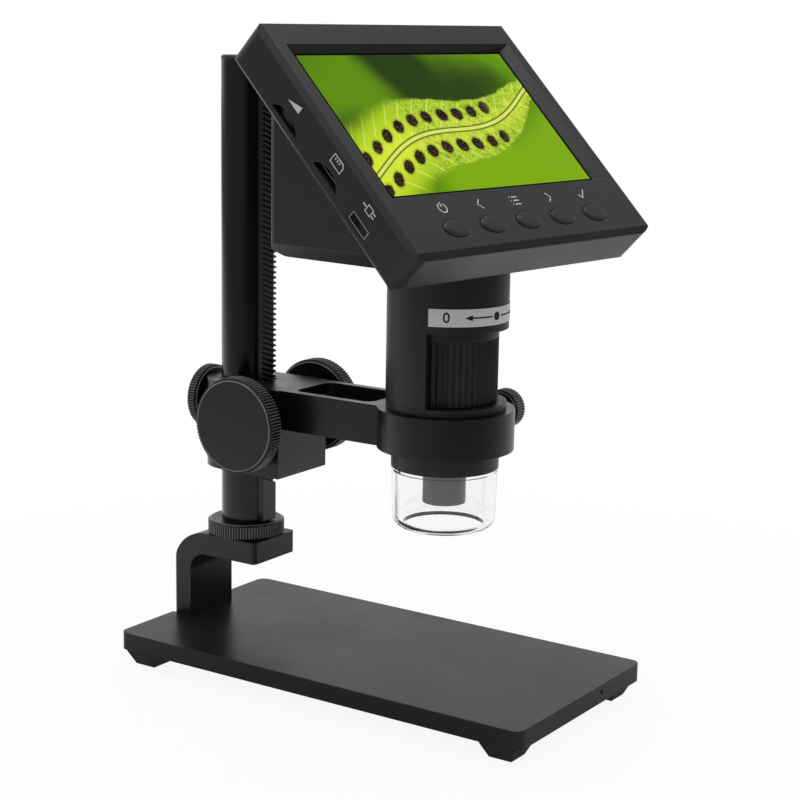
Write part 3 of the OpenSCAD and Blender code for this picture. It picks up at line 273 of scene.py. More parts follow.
# depths in millimetres over which the bare metal of a crest and the painted highlight line round a rim
# fade out
crestFade = (0.02, 0.16)
lineFade = (0.06, 0.26)


def makeCrestGroup():
    # one on the bare crests of a knurled rim, and on a painted highlight line round its flat face
    group, start, end = newGroup(
        "knurlCrest",
        [
            ("Centre", "NodeSocketVector", (0.0, 0.0, 0.0)),
            ("Across", "NodeSocketVector", (1.0, 1.0, 0.0)),
            ("Radius", "NodeSocketFloat", 10.0),
            ("Rim Inset", "NodeSocketFloat", 1.0),
        ],
        [("Bare And Glint", "NodeSocketFloat")],
    )
    coords = group.nodes.new("ShaderNodeTexCoord").outputs["Object"]
    place = vectorNode(group, "DIVIDE", coords, (mm, mm, mm))
    away = vectorNode(group, "SUBTRACT", place, start.outputs["Centre"])
    level = vectorNode(group, "MULTIPLY", away, start.outputs["Across"])
    reach = vectorNode(group, "LENGTH", level)
    inset = mathNode(group, "SUBTRACT", start.outputs["Radius"], reach)
    crest = rangeNode(group, inset, crestFade, (1.0, 0.0))
    # a painted highlight line just inside the rim, where the face's chamfer catches light
    fromLine = mathNode(group, "SUBTRACT", inset, start.outputs["Rim Inset"])
    line = rangeNode(group, mathNode(group, "ABSOLUTE", fromLine), lineFade, (1.0, 0.0))
    feed(group, end.inputs["Bare And Glint"], mathNode(group, "MAXIMUM", crest, line))
    return group


grainGroup = makeGrainGroup()
edgeGroup = makeEdgeGroup()
faceGroup = makeFaceGroup()
crestGroup = makeCrestGroup()
print("shader groups made")


def newMaterial(name, look):
    material = bpy.data.materials.new(name)
    material.use_nodes = True
    tree = material.node_tree
    shader = tree.nodes["Principled BSDF"]
    shader.inputs["Metallic"].default_value = look.get("metallic", 0.0)
    shader.inputs["IOR"].default_value = look.get("ior", 1.5)
    shader.inputs["Coat Weight"].default_value = look.get("coat", 0.0)
    shader.inputs["Coat Roughness"].default_value = look.get("coatRoughness", 0.1)
    shader.inputs["Specular IOR Level"].default_value = look.get("specular", 0.5)
    return material, tree, shader


def addGrain(tree, look):
    # the grain of a finish, and its mottled colour
    grain = addNode(
        tree, "ShaderNodeGroup", {"node_tree": grainGroup},
        Scale=look["grainScale"], Mottle_Scale=look["mottleScale"],
    )
    return grain, mixColour(tree, grain.outputs["Mottle"], look["dark"], look["light"])


def addRoughness(tree, shader, grain, look):
    # roughness runs between its two values where the mottle runs between its own
    rough = rangeNode(
        tree, grain.outputs["Mottle"], look["mottleRange"], look["roughness"], smooth=False
    )
    feed(tree, shader.inputs["Roughness"], rough)


def addBump(tree, shader, grain, look):
    bump = addNode(
        tree, "ShaderNodeBump", Strength=look["bump"], Distance=look["bumpDepth"] * mm,
        Height=grain.outputs["Grain"],
    )
    feed(tree, shader.inputs["Normal"], bump.outputs["Normal"])
    return bump


def coatedMaterial(name, look):
    # a solid finish: mottled colour, lighter along edges as wear and as a painted highlight, fine grain,
    # softened corners
    material, tree, shader = newMaterial(name, look)
    grain, colour = addGrain(tree, look)
    edge = addNode(
        tree, "ShaderNodeGroup", {"node_tree": edgeGroup},
        Radius=look["edgeRadius"] * mm, Reach=look["edgeReach"],
    )
    # edges painted lighter: partly wear, partly a painted highlight where the corners catch light
    edgeWearAndHighlight = mathNode(tree, "MULTIPLY", edge.outputs["Edge"], look["edgeShow"])
    colour = mixColour(tree, edgeWearAndHighlight, colour, look["edge"])
    if "crest" in look:
        crest = addNode(tree, "ShaderNodeGroup", {"node_tree": crestGroup}, **look["crest"])
        # bare metal on knurl crests and a painted highlight line round the knob's face
        show = mathNode(tree, "MULTIPLY", crest.outputs["Bare And Glint"], look["bareGlintShow"])
        colour = mixColour(tree, show, colour, look["bareGlint"])
    feed(tree, shader.inputs["Base Color"], colour)
    addRoughness(tree, shader, grain, look)
    bump = addBump(tree, shader, grain, look)
    feed(tree, bump.inputs["Normal"], edge.outputs["Normal"])
    return material


# what a solid finish has unless it says otherwise; radii and depths are in millimetres
commonLook = {
    "metallic": 0.0, "edgeShow": 0.4, "edgeRadius": 0.2, "edgeReach": 0.25, "mottleRange": (0.3, 0.7),
    "bump": 0.15, "bumpDepth": 0.01, "grainScale": 6000.0, "mottleScale": 200.0,
}
# each finish's edge colour is painted along its edges: partly wear, partly a painted highlight
looks = {
    "black_base": {
        "dark": (0.005, 0.005, 0.0055), "light": (0.008, 0.008, 0.0085), "edge": (0.05, 0.05, 0.052),
        "edgeShow": 0.5, "edgeRadius": 0.35, "roughness": (0.28, 0.36), "bump": 0.2,
        "bumpDepth": 0.015, "grainScale": 5200.0, "mottleScale": 45.0,
    },
    "black_anodised": {
        "dark": (0.0032, 0.0032, 0.0035), "light": (0.0055, 0.0055, 0.006),
        "edge": (0.06, 0.06, 0.062), "edgeShow": 0.55, "edgeRadius": 0.25,
        "roughness": (0.26, 0.34), "grainScale": 7000.0, "mottleScale": 70.0,
    },
    "polishedPost": {
        "dark": (0.0025, 0.0025, 0.0028), "light": (0.0045, 0.0045, 0.005),
        "edge": (0.06, 0.06, 0.062), "edgeShow": 0.55, "edgeRadius": 0.25,
        "roughness": (0.13, 0.19), "bump": 0.06, "grainScale": 7000.0, "mottleScale": 70.0,
    },
    "black_plastic": {
        "dark": (0.013, 0.013, 0.0136), "light": (0.017, 0.017, 0.0176), "edge": (0.034, 0.034, 0.035),
        "edgeRadius": 0.45, "roughness": (0.38, 0.46), "bump": 0.35, "bumpDepth": 0.02,
        "grainScale": 3600.0, "mottleScale": 40.0,
    },
    "key_plastic": {
        "dark": (0.010, 0.010, 0.0105), "light": (0.014, 0.014, 0.0145), "edge": (0.03, 0.03, 0.031),
        "edgeRadius": 0.35, "roughness": (0.34, 0.42), "bump": 0.12,
        "grainScale": 5000.0, "mottleScale": 120.0,
    },
    "foot_rubber": {
        "dark": (0.006, 0.006, 0.006), "light": (0.011, 0.011, 0.011), "edge": (0.03, 0.03, 0.03),
        "edgeRadius": 0.5, "roughness": (0.55, 0.7), "bump": 0.4, "bumpDepth": 0.03,
        "grainScale": 2400.0, "mottleScale": 160.0,
    },
    "steel": {
        "dark": (0.36, 0.36, 0.37), "light": (0.48, 0.48, 0.49), "edge": (0.7, 0.7, 0.7),
        "metallic": 1.0, "edgeShow": 0.5, "edgeRadius": 0.15, "roughness": (0.28, 0.4),
    },
    "black_steel": {
        "dark": (0.030, 0.030, 0.033), "light": (0.05, 0.05, 0.053), "edge": (0.2, 0.2, 0.2),
        "metallic": 0.6, "edgeShow": 0.5, "edgeRadius": 0.15, "roughness": (0.35, 0.45),
    },
    "brass": {
        "dark": (0.50, 0.34, 0.12), "light": (0.66, 0.48, 0.20), "edge": (0.8, 0.65, 0.35),
        "metallic": 1.0, "edgeShow": 0.5, "edgeRadius": 0.1, "roughness": (0.25, 0.38),
    },
    "nylon": {
        "dark": (0.62, 0.60, 0.52), "light": (0.72, 0.70, 0.62), "edge": (0.8, 0.78, 0.7),
        "edgeShow": 0.3, "roughness": (0.4, 0.5), "grainScale": 4000.0,
    },
    "bushing_plastic": {
        "dark": (0.06, 0.055, 0.05), "light": (0.09, 0.085, 0.075), "edge": (0.15, 0.14, 0.12),
        "edgeShow": 0.3, "roughness": (0.45, 0.55), "bump": 0.2, "grainScale": 4000.0,
        "mottleScale": 150.0,
    },
    "lens_grey": {
        "dark": (0.060, 0.060, 0.062), "light": (0.080, 0.080, 0.083), "edge": (0.2, 0.2, 0.2),
        "edgeShow": 0.5, "roughness": (0.34, 0.42), "mottleScale": 120.0,
    },
    "label_white": {
        "dark": (0.70, 0.70, 0.71), "light": (0.80, 0.80, 0.81), "edge": (0.85, 0.85, 0.86),
        "edgeShow": 0.2, "edgeRadius": 0.1, "roughness": (0.25, 0.35), "bump": 0.05,
        "bumpDepth": 0.005, "grainScale": 5000.0, "mottleScale": 90.0,
    },
    "panel_metal": {
        "dark": (0.52, 0.52, 0.54), "light": (0.64, 0.64, 0.66), "edge": (0.8, 0.8, 0.8),
        "metallic": 1.0, "roughness": (0.3, 0.4), "bump": 0.1, "mottleScale": 80.0,
    },
    "circuit_board": {
        "dark": (0.012, 0.09, 0.035), "light": (0.02, 0.14, 0.055), "edge": (0.25, 0.27, 0.18),
        "edgeRadius": 0.15, "roughness": (0.3, 0.42), "bump": 0.2,
        "grainScale": 1500.0, "mottleScale": 300.0,
    },
    "board_white": {
        "dark": (0.72, 0.72, 0.70), "light": (0.82, 0.82, 0.80), "edge": (0.6, 0.58, 0.45),
        "edgeRadius": 0.15, "roughness": (0.3, 0.4), "bump": 0.1, "grainScale": 3000.0,
    },
    "switch_metal": {
        "dark": (0.46, 0.46, 0.47), "light": (0.58, 0.58, 0.59), "edge": (0.8, 0.8, 0.8),
        "metallic": 1.0, "edgeRadius": 0.15, "roughness": (0.25, 0.36), "bump": 0.1,
    },
    "led_lens": {
        "dark": (0.80, 0.76, 0.50), "light": (0.90, 0.87, 0.62), "edge": (0.95, 0.93, 0.8),
        "edgeShow": 0.3, "roughness": (0.15, 0.25), "bump": 0.05, "bumpDepth": 0.005,
        "grainScale": 3000.0, "mottleScale": 400.0,
    },
    "cell_foil": {
        "dark": (0.50, 0.51, 0.53), "light": (0.62, 0.63, 0.65), "edge": (0.7, 0.7, 0.72),
        "edgeShow": 0.3, "edgeRadius": 0.4, "roughness": (0.3, 0.45), "bump": 0.5,
        "bumpDepth": 0.05, "grainScale": 500.0, "mottleScale": 60.0,
    },
    "cable_film": {
        "dark": (0.42, 0.22, 0.05), "light": (0.55, 0.32, 0.09), "edge": (0.65, 0.45, 0.2),
        "edgeShow": 0.3, "edgeRadius": 0.1, "roughness": (0.25, 0.35), "bump": 0.1,
        "grainScale": 2000.0, "mottleScale": 300.0,
    },
}
finish = {name: coatedMaterial(name, {**commonLook, **look}) for name, look in looks.items()}
finish["post"] = finish["polishedPost"]

# knurled pieces: the joint each one turns on, and how far inside its rim the painted highlight line runs
knurls = {
    "focus_knob_left": {"joint": "focus_knob_turn", "lineInset": 1.05},
    "focus_knob_right": {"joint": "focus_knob_turn", "lineInset": 1.05},
    "tension_knob": {"joint": "tension_turn", "lineInset": 1.0},
    "collar_nut": {"joint": "collar_turn", "lineInset": 0.95},
    "ring_thumbscrew": {"joint": "clamp_turn", "lineInset": 0.95},
}
# colour of the bare crests and of the painted highlight line round the face, and how strongly it shows
bareAndGlintLook = {"bareGlint": (0.34, 0.34, 0.35), "bareGlintShow": 0.75}


def knurledMaterial(name, knurl):
    # anodised, with the metal bare on the crests and a painted highlight line round the face; axis and
    # radius come from the joint and the mesh
    joint = joints[knurl["joint"]]
    centre = Vector(joint["pos_m"]) / mm
    across = Vector([1 - abs(share) for share in joint["axis"]])
    places = [vertex.co / mm - centre for vertex in cad[name].data.vertices]
    crest = {
        "Centre": centre, "Across": across, "Rim_Inset": knurl["lineInset"],
        "Radius": max((place * across).length for place in places),
    }
    look = {**commonLook, **looks["black_anodised"], **bareAndGlintLook, "crest": crest}
    return coatedMaterial(name + "Finish", look)


for name, knurl in knurls.items():
    finish[name] = knurledMaterial(name, knurl)


def clearMaterial(name, look):
    # clear plastic or glass with very fine scratches
    material, tree, shader = newMaterial(name, look)
    shader.inputs["Transmission Weight"].default_value = 1.0
    grain, tint = addGrain(tree, look)
    feed(tree, shader.inputs["Base Color"], tint)
    addRoughness(tree, shader, grain, look)
    addBump(tree, shader, grain, look)
    return material


clearLooks = {
    "clear_plastic": {
        "dark": (0.93, 0.94, 0.95), "light": (0.98, 0.985, 0.99), "roughness": (0.0, 0.05),
        "mottleRange": (0.35, 0.75), "bump": 0.05, "bumpDepth": 0.005,
        "grainScale": 300.0, "mottleScale": 90.0, "ior": 1.47,
    },
    "optical_glass": {
        "dark": (0.80, 0.84, 0.92), "light": (0.88, 0.86, 0.95), "roughness": (0.0, 0.02),
        "mottleRange": (0.35, 0.75), "bump": 0.02, "bumpDepth": 0.005,
        "grainScale": 300.0, "mottleScale": 90.0, "ior": 1.52, "coat": 0.6, "coatRoughness": 0.02,
    },
}
for name, look in clearLooks.items():
    finish[name] = clearMaterial(name, look)


# places and sizes are in millimetres on the display's face; a pair of numbers starts and ends a fade
display = {
    "halfWidth": 49.2, "halfHeight": 27.7, "faceDepth": -0.2, "unlit": (0.006, 0.006, 0.007),
    "specular": 0.02, "roughness": 0.08, "rippleRough": 0.04,
    # the blurred ground behind the leaf, lighter towards the lower right
    "groundDark": (0.018, 0.045, 0.001), "groundMid": (0.11, 0.27, 0.001),
    "groundLight": (0.20, 0.40, 0.001), "blotchScale": 0.022, "blotchDetail": 0.5,
    "blotchFade": (0.32, 0.68), "blotchTone": (0.1, 0.9), "leanAcross": 0.006, "leanUp": -0.008,
    "darkToMid": (0.1, 0.55), "midToLight": (0.55, 1.0),
    # the leaf's middle line and its width, which narrows to a tip on the right
    "slope": 0.30, "rise": -4.0, "sway": -4.0, "swayRate": 0.07, "halfBlade": 17.0, "halfTip": 1.0,
    "bladeEnds": (-52.0, 47.0), "narrowing": 0.45, "rippleScale": 0.11, "rippleDetail": 2.0,
    "rippleDepth": 1.5,
    # the leaf's far end lies out of focus
    "focusEnds": (-5.0, -50.0), "blurWidth": (0.5, 5.0), "sharpFade": (3.2, 0.8),
    # cells, their walls and the side veins
    "bladeLight": (0.66, 0.78, 0.035), "bladeMid": (0.34, 0.56, 0.006),
    "bladeShade": (0.10, 0.26, 0.003), "toneFade": (0.15, 1.0), "cellScale": 0.55,
    "cellContrast": 0.5, "cellShade": 0.1, "cellWall": (0.72, 0.82, 0.12),
    "wallFade": (0.16, 0.03), "wallShow": 0.45, "veinLean": 0.9, "veinFade": (0.55, 0.2),
    "veinShow": 0.7,
    "rib": (0.70, 0.78, 0.14), "ribFade": (0.8, 0.45),
    "ribEdge": (0.05, 0.12, 0.004), "ribEdgeFade": (1.5, 0.8),
    # two rows of brown spore cases beside the rib
    "sporePitch": 7.8, "sporeOut": 6.2, "sporeRadius": 2.5, "sporeSoft": 0.35, "sporeEnds": (30.0, 20.0),
    "sporeRipple": 0.5,
    "sporeDark": (0.010, 0.005, 0.003), "sporeLight": (0.20, 0.10, 0.035),
    "grainScale": 1.35, "grainFade": (0.05, 0.62), "grainBulge": 0.7, "grainPower": 2.0,
    "haloOut": 1.2, "haloIn": 0.4, "haloShow": 0.55,
}


def groundColour(tree, flat, across, up):
    look = display
    blotch = addNode(
        tree, "ShaderNodeTexNoise", Vector=flat,
        Scale=look["blotchScale"], Detail=look["blotchDetail"],
    )
    lean = mathNode(tree, "MULTIPLY", up, look["leanUp"])
    lean = mathNode(tree, "MULTIPLY_ADD", across, look["leanAcross"], lean)
    tone = rangeNode(tree, blotch.outputs["Fac"], look["blotchFade"], look["blotchTone"])
    tone = mathNode(tree, "ADD", tone, lean)
    toMid = rangeNode(tree, tone, look["darkToMid"])
    toLight = rangeNode(tree, tone, look["midToLight"])
    ground = mixColour(tree, toMid, look["groundDark"], look["groundMid"])
    return mixColour(tree, toLight, ground, look["groundLight"])


def leafShape(tree, flat, across, up):
    # distance from the wavy middle line, the blade's mask, and how sharp it is
    look = display
    wave = mathNode(tree, "SINE", mathNode(tree, "MULTIPLY", across, look["swayRate"]))
    line = mathNode(tree, "MULTIPLY_ADD", across, look["slope"], look["rise"])
    line = mathNode(tree, "MULTIPLY_ADD", wave, look["sway"], line)
    fromRib = mathNode(tree, "ABSOLUTE", mathNode(tree, "SUBTRACT", up, line))
    noise = addNode(
        tree, "ShaderNodeTexNoise", Vector=flat,
        Scale=look["rippleScale"], Detail=look["rippleDetail"],
    )
    ripple = noise.outputs["Fac"]
    depth = look["rippleDepth"]
    shake = mathNode(tree, "MULTIPLY_ADD", ripple, 2 * depth, -depth)
    spread = mathNode(tree, "ADD", fromRib, shake)
    half = rangeNode(
        tree, across, look["bladeEnds"], (look["halfBlade"], look["halfTip"]), smooth=False
    )
    share = mathNode(tree, "DIVIDE", half, look["halfBlade"])
    share = mathNode(tree, "POWER", share, look["narrowing"])
    half = mathNode(tree, "MULTIPLY", share, look["halfBlade"])
    blur = rangeNode(tree, across, look["focusEnds"], look["blurWidth"])
    edge = (mathNode(tree, "ADD", half, blur), mathNode(tree, "SUBTRACT", half, blur))
    return {
        "fromRib": fromRib, "ripple": ripple, "shake": shake, "spread": spread, "half": half,
        "blade": rangeNode(tree, spread, edge), "sharp": rangeNode(tree, blur, look["sharpFade"]),
    }


def veinedColour(tree, flat, across, leaf):
    # cells with their walls, side veins that run from the rib towards the tip, and the rib
    look = display
    pattern = "ShaderNodeTexVoronoi"
    scale = look["cellScale"]
    walls = addNode(tree, pattern, {"feature": "DISTANCE_TO_EDGE"}, Vector=flat, Scale=scale)
    cells = addNode(tree, pattern, {"feature": "F1"}, Vector=flat, Scale=scale)
    split = addNode(tree, "ShaderNodeSeparateColor", Color=cells.outputs["Color"])
    tone = mathNode(tree, "DIVIDE", leaf["spread"], leaf["half"])
    tone = rangeNode(tree, tone, look["toneFade"])
    colour = mixColour(tree, tone, look["bladeLight"], look["bladeMid"])
    shade = mathNode(tree, "MULTIPLY_ADD", split.outputs[0], look["cellContrast"], look["cellShade"])
    shade = mathNode(tree, "MULTIPLY", shade, leaf["sharp"])
    colour = mixColour(tree, shade, colour, look["bladeShade"])
    wall = rangeNode(tree, walls.outputs["Distance"], look["wallFade"])
    wall = mathNode(tree, "MULTIPLY", wall, look["wallShow"])
    wall = mathNode(tree, "MULTIPLY", wall, leaf["sharp"])
    colour = mixColour(tree, wall, colour, look["cellWall"])
    halfPitch = look["sporePitch"] / 2
    vein = mathNode(tree, "MULTIPLY", leaf["fromRib"], look["veinLean"])
    vein = mathNode(tree, "SUBTRACT", vein, across)
    vein = mathNode(tree, "ABSOLUTE", mathNode(tree, "WRAP", vein, -halfPitch, halfPitch))
    vein = mathNode(tree, "MULTIPLY", rangeNode(tree, vein, look["veinFade"]), look["veinShow"])
    colour = mixColour(tree, vein, colour, look["cellWall"])
    ribEdge = rangeNode(tree, leaf["fromRib"], look["ribEdgeFade"])
    rib = rangeNode(tree, leaf["fromRib"], look["ribFade"])
    colour = mixColour(tree, ribEdge, colour, look["ribEdge"])
    return mixColour(tree, rib, colour, look["rib"])


def sporedColour(tree, flat, across, leaf, colour):
    # a cluster of spore cases with a dark surround at each side vein; none near the tip
    look = display
    halfPitch = look["sporePitch"] / 2
    nearRow = mathNode(tree, "SUBTRACT", leaf["fromRib"], look["sporeOut"])
    along = mathNode(tree, "SUBTRACT", look["veinLean"] * look["sporeOut"], across)
    along = mathNode(tree, "WRAP", along, -halfPitch, halfPitch)
    square = mathNode(tree, "MULTIPLY", along, along)
    square = mathNode(tree, "MULTIPLY_ADD", nearRow, nearRow, square)
    shake = mathNode(tree, "MULTIPLY", leaf["shake"], look["sporeRipple"])
    radius = mathNode(tree, "ADD", mathNode(tree, "SQRT", square), shake)
    grains = addNode(
        tree, "ShaderNodeTexVoronoi", {"feature": "F1"}, Vector=flat, Scale=look["grainScale"]
    )
    ball = rangeNode(tree, grains.outputs["Distance"], look["grainFade"], (1.0, 0.0))
    bumpy = mathNode(tree, "MULTIPLY_ADD", ball, -look["grainBulge"], radius)
    edge = look["sporeRadius"]
    present = rangeNode(tree, across, look["sporeEnds"])
    mask = rangeNode(tree, bumpy, (edge, edge - look["sporeSoft"]))
    mask = mathNode(tree, "MULTIPLY", mask, present)
    light = mathNode(tree, "POWER", ball, look["grainPower"])
    spore = mixColour(tree, light, look["sporeDark"], look["sporeLight"])
    halo = rangeNode(tree, radius, (edge + look["haloOut"], edge - look["haloIn"]))
    halo = mathNode(tree, "MULTIPLY", halo, look["haloShow"])
    halo = mathNode(tree, "MULTIPLY", halo, present)
    colour = mixColour(tree, halo, colour, look["bladeShade"])
    return mixColour(tree, mask, colour, spore)


def displayMaterial():
    # a lit display: the underside of a fern leaflet, magnified, in front of a blurred green ground
    look = display
    material, tree, shader = newMaterial("litDisplay", look)
    place = addNode(tree, "ShaderNodeGroup", {"node_tree": faceGroup})
    across, up, out = (place.outputs[label] for label in ("Across", "Up", "Out"))
    flat = addNode(tree, "ShaderNodeCombineXYZ", X=across, Y=up).outputs[0]
    leaf = leafShape(tree, flat, across, up)
    colour = veinedColour(tree, flat, across, leaf)
    colour = sporedColour(tree, flat, across, leaf, colour)
    picture = mixColour(tree, leaf["blade"], groundColour(tree, flat, across, up), colour)
    # dark border outside the picture, and nothing lit behind the face
    inWidth = mathNode(tree, "LESS_THAN", mathNode(tree, "ABSOLUTE", across), look["halfWidth"])
    inHeight = mathNode(tree, "LESS_THAN", mathNode(tree, "ABSOLUTE", up), look["halfHeight"])
    onFace = mathNode(tree, "GREATER_THAN", out, look["faceDepth"])
    shown = mathNode(tree, "MULTIPLY", mathNode(tree, "MULTIPLY", inWidth, inHeight), onFace)
    feed(tree, shader.inputs["Emission Color"], mixColour(tree, shown, (0.0, 0.0, 0.0), picture))
    shader.inputs["Emission Strength"].default_value = 1.0
    shader.inputs["Base Color"].default_value = (*look["unlit"], 1)
    rough = (leaf["ripple"], look["rippleRough"], look["roughness"])
    feed(tree, shader.inputs["Roughness"], mathNode(tree, "MULTIPLY_ADD", *rough))
    return material


finish["display_glass"] = displayMaterial()

inkGrain = {
    "grainScale": 5000.0, "mottleScale": 900.0, "roughness": 0.5, "bump": 0.2, "bumpDepth": 0.01,
}
inkTones = {
    "whiteInk": {"dark": (0.62, 0.62, 0.62), "light": (0.78, 0.78, 0.78)},
    "blackInk": {"dark": (0.003, 0.003, 0.003), "light": (0.006, 0.006, 0.006)},
}


def printMaterial(name, tones):
    # screen-printed ink, a little uneven
    look = {**inkGrain, **tones}
    material, tree, shader = newMaterial(name, {})
    grain, colour = addGrain(tree, look)
    feed(tree, shader.inputs["Base Color"], colour)
    shader.inputs["Roughness"].default_value = look["roughness"]
    addBump(tree, shader, grain, look)
    return material


ink = {name: printMaterial(name, tones) for name, tones in inkTones.items()}
# a piece with a finish of its own takes that, any other the finish of its slot
for part in frame["record"]["subparts"]:
    paint(cad[part["node"]], finish.get(part["node"], finish[part["material_slot"]]))
print("materials made:", len(bpy.data.materials))


keyMarks = {
    "pitch": 17.4, "up": -35.2, "faceOut": 2.4, "size": 1.75, "line": 0.42,
    # the power mark's open ring: its first and last angle, and its steps
    "ring": (125, 415, 26),
    # keys are counted from the middle one; a stroke's points are in shares of the mark's size
    "strokes": [
        (-2, [(0, 0.2), (0, 1.25)]),
        (-1, [(0.5, 1), (-0.5, 0), (0.5, -1)]),
        (1, [(-0.5, 1), (0.5, 0), (-0.5, -1)]),
    ],
    "menuRows": (-0.8, 0, 0.8), "menuDot": (-1.15, -0.95), "menuLine": (-0.45, 1.1),
    "tick": [(-1.1, -0.1), (-0.3, -0.9), (1.2, 0.9)], "tickBold": 1.15,
}


def makeKeyMarks():
    # above the keys: power, left, menu, right and a tick
    size, line, pitch = keyMarks["size"], keyMarks["line"], keyMarks["pitch"]
    strokes = list(keyMarks["strokes"])
    for row in keyMarks["menuRows"]:
        strokes += [(0, [(x, row) for x in keyMarks[part]]) for part in ("menuLine", "menuDot")]
    marks = [shifted(penLine(arcPoints(size, *keyMarks["ring"]), line), -2 * pitch, 0)]
    for key, points in strokes:
        stroke = penLine([(x * size, y * size) for x, y in points], line)
        marks.append(shifted(stroke, key * pitch, 0))
    tick = [(x * size, y * size) for x, y in keyMarks["tick"]]
    marks.append(shifted(penLine(tick, line * keyMarks["tickBold"]), 2 * pitch, 0))
    whole = joinAll(marks, "keyMarks")
    place = Matrix.Translation((0, keyMarks["up"] * mm, keyMarks["faceOut"] * mm))
    placeBy(whole, screenMatrix @ place)
    finishPiece(whole, "head", ink["whiteInk"])


sideMarks = {
    "sideAt": -59.5, "line": 0.42, "halfThick": 0.03,
    # beside the thumb wheel: a wedge
    "wedge": [(-8.2, -3.8), (-8.2, -1.3), (-14.0, -3.8)],
    # beside the slot: a card with a cut corner and its contacts
    "cardAt": (12.5, -2.2), "card": [(-2.6, -1.5), (2.6, -1.5), (2.6, 0.6), (1.7, 1.5), (-2.6, 1.5)],
    "contacts": [[(x, 0.2), (x, 1.0)] for x in (-1.4, -0.4, 0.6)],
    # beside the power socket: a plug with two pins and a lead
    "plugAt": (30.5, -2.2), "plug": [(-1.4, -1.2), (1.0, -1.2), (1.0, 1.2), (-1.4, 1.2)],
    "wires": [[(1.3, -0.6), (2.6, -0.6)], [(1.3, 0.6), (2.6, 0.6)], [(-1.7, 0), (-3.4, 0)]],
}


def makeSideMarks():
    # drawn with x running down the housing's edge and y towards its front, seen from the left
    line = sideMarks["line"]
    marks = [inkShape(sideMarks["wedge"], sideMarks["halfThick"])]
    for at, outline, strokes in (("cardAt", "card", "contacts"), ("plugAt", "plug", "wires")):
        x, y = sideMarks[at]
        marks.append(shifted(penLine(sideMarks[outline], line, closed=True), x, y))
        marks += [shifted(penLine(stroke, line), x, y) for stroke in sideMarks[strokes]]
    whole = joinAll(marks, "sideMarks")
    toSide = Matrix(((0, 0, -1, sideMarks["sideAt"] * mm), (-1, 0, 0, 0), (0, 1, 0, 0), (0, 0, 0, 1)))
    placeBy(whole, screenMatrix @ toSide)
    finishPiece(whole, "head", ink["whiteInk"])


bandMarks = {
    "radius": 19.82, "low": 127.05, "height": 5.4, "halfThick": 0.012, "dot": 1.35, "dotSides": 32,
    "dotInset": 0.5,
    # the arrows reach this many degrees from the dot; a shaft ends inside its head
    "arrow": 35.0, "line": 0.5, "press": 0.1, "shaftStart": 2.2, "shaftShort": 1.4, "shaftSteps": 16,
    "headLength": 2.6, "headHalf": 0.95, "headSlices": 6, "headBlunt": 0.05,
    # the numbers and their places in degrees
    "numbers": {"0": -52.0, "10": 52.0}, "numberSize": 4.6, "numberBold": 0.06,
}


def makeArrow(side, tip):
    # the shaft has many steps and the head is cut into slices, so that both follow the barrel
    start, steps, slices = (bandMarks[key] for key in ("shaftStart", "shaftSteps", "headSlices"))
    length = tip - bandMarks["shaftShort"] - start
    shaft = [(side * (start + length * i / steps), 0) for i in range(steps + 1)]
    pieces = [penLine(shaft, bandMarks["line"], press=bandMarks["press"])]
    widen = bandMarks["headHalf"] / slices
    for k in range(slices):
        near = tip - k * bandMarks["headLength"] / slices
        far = tip - (k + 1) * bandMarks["headLength"] / slices
        nearHalf, farHalf = widen * max(k, bandMarks["headBlunt"]), widen * (k + 1)
        corners = [(near, nearHalf), (far, farHalf), (far, -farHalf), (near, -nearHalf)]
        pieces.append(inkShape([(side * x, y) for x, y in corners], bandMarks["halfThick"]))
    return pieces


def makeNumber(words, x):
    deselectAll()
    bpy.ops.object.text_add(location=(0, 0, 0))
    text = bpy.context.object.data
    text.body = words
    text.size = bandMarks["numberSize"] * mm
    text.align_x = "CENTER"
    text.align_y = "CENTER"
    text.extrude = bandMarks["halfThick"] * mm
    text.offset = bandMarks["numberBold"] * mm
    bpy.ops.object.convert(target="MESH")
    return shifted(bpy.context.object, x, 0)


def makeDot():
    deselectAll()
    bpy.ops.mesh.primitive_circle_add(
        vertices=bandMarks["dotSides"], radius=bandMarks["dot"] * mm, fill_type="NGON"
    )
    bpy.ops.object.mode_set(mode="EDIT")
    bpy.ops.mesh.select_all(action="SELECT")
    bpy.ops.mesh.inset(thickness=bandMarks["dotInset"] * mm)
    bpy.ops.object.mode_set(mode="OBJECT")
    return bpy.context.object


def makeBandMarks():
    # drawn flat, then bent round the barrel
    radius = bandMarks["radius"]
    perDegree = math.radians(1) * radius
    marks = [makeDot()]
    for side in (-1, 1):
        marks += makeArrow(side, bandMarks["arrow"] * perDegree)
    for words, angle in bandMarks["numbers"].items():
        marks.append(makeNumber(words, angle * perDegree))
    whole = joinAll(marks, "bandMarks")
    # stand it up, facing the front, then wrap it
    activate(whole)
    whole.rotation_euler = (math.radians(90), 0, 0)
    bpy.ops.object.transform_apply(location=True, rotation=True, scale=True)
    wrap = whole.modifiers.new("wrap", "SIMPLE_DEFORM")
    wrap.deform_method = "BEND"
    wrap.deform_axis = "Z"
    places = [vertex.co.x for vertex in whole.data.vertices]
    wrap.angle = (max(places) - min(places)) / (radius * mm)
    bpy.ops.object.modifier_apply(modifier="wrap")
    height = bandMarks["low"] + bandMarks["height"] / 2
    placeBy(whole, headMatrix @ Matrix.Translation((0, -radius * mm, height * mm)))
    finishPiece(whole, "head", ink["blackInk"])


makeKeyMarks()
makeSideMarks()
makeBandMarks()
print("printed marks made")


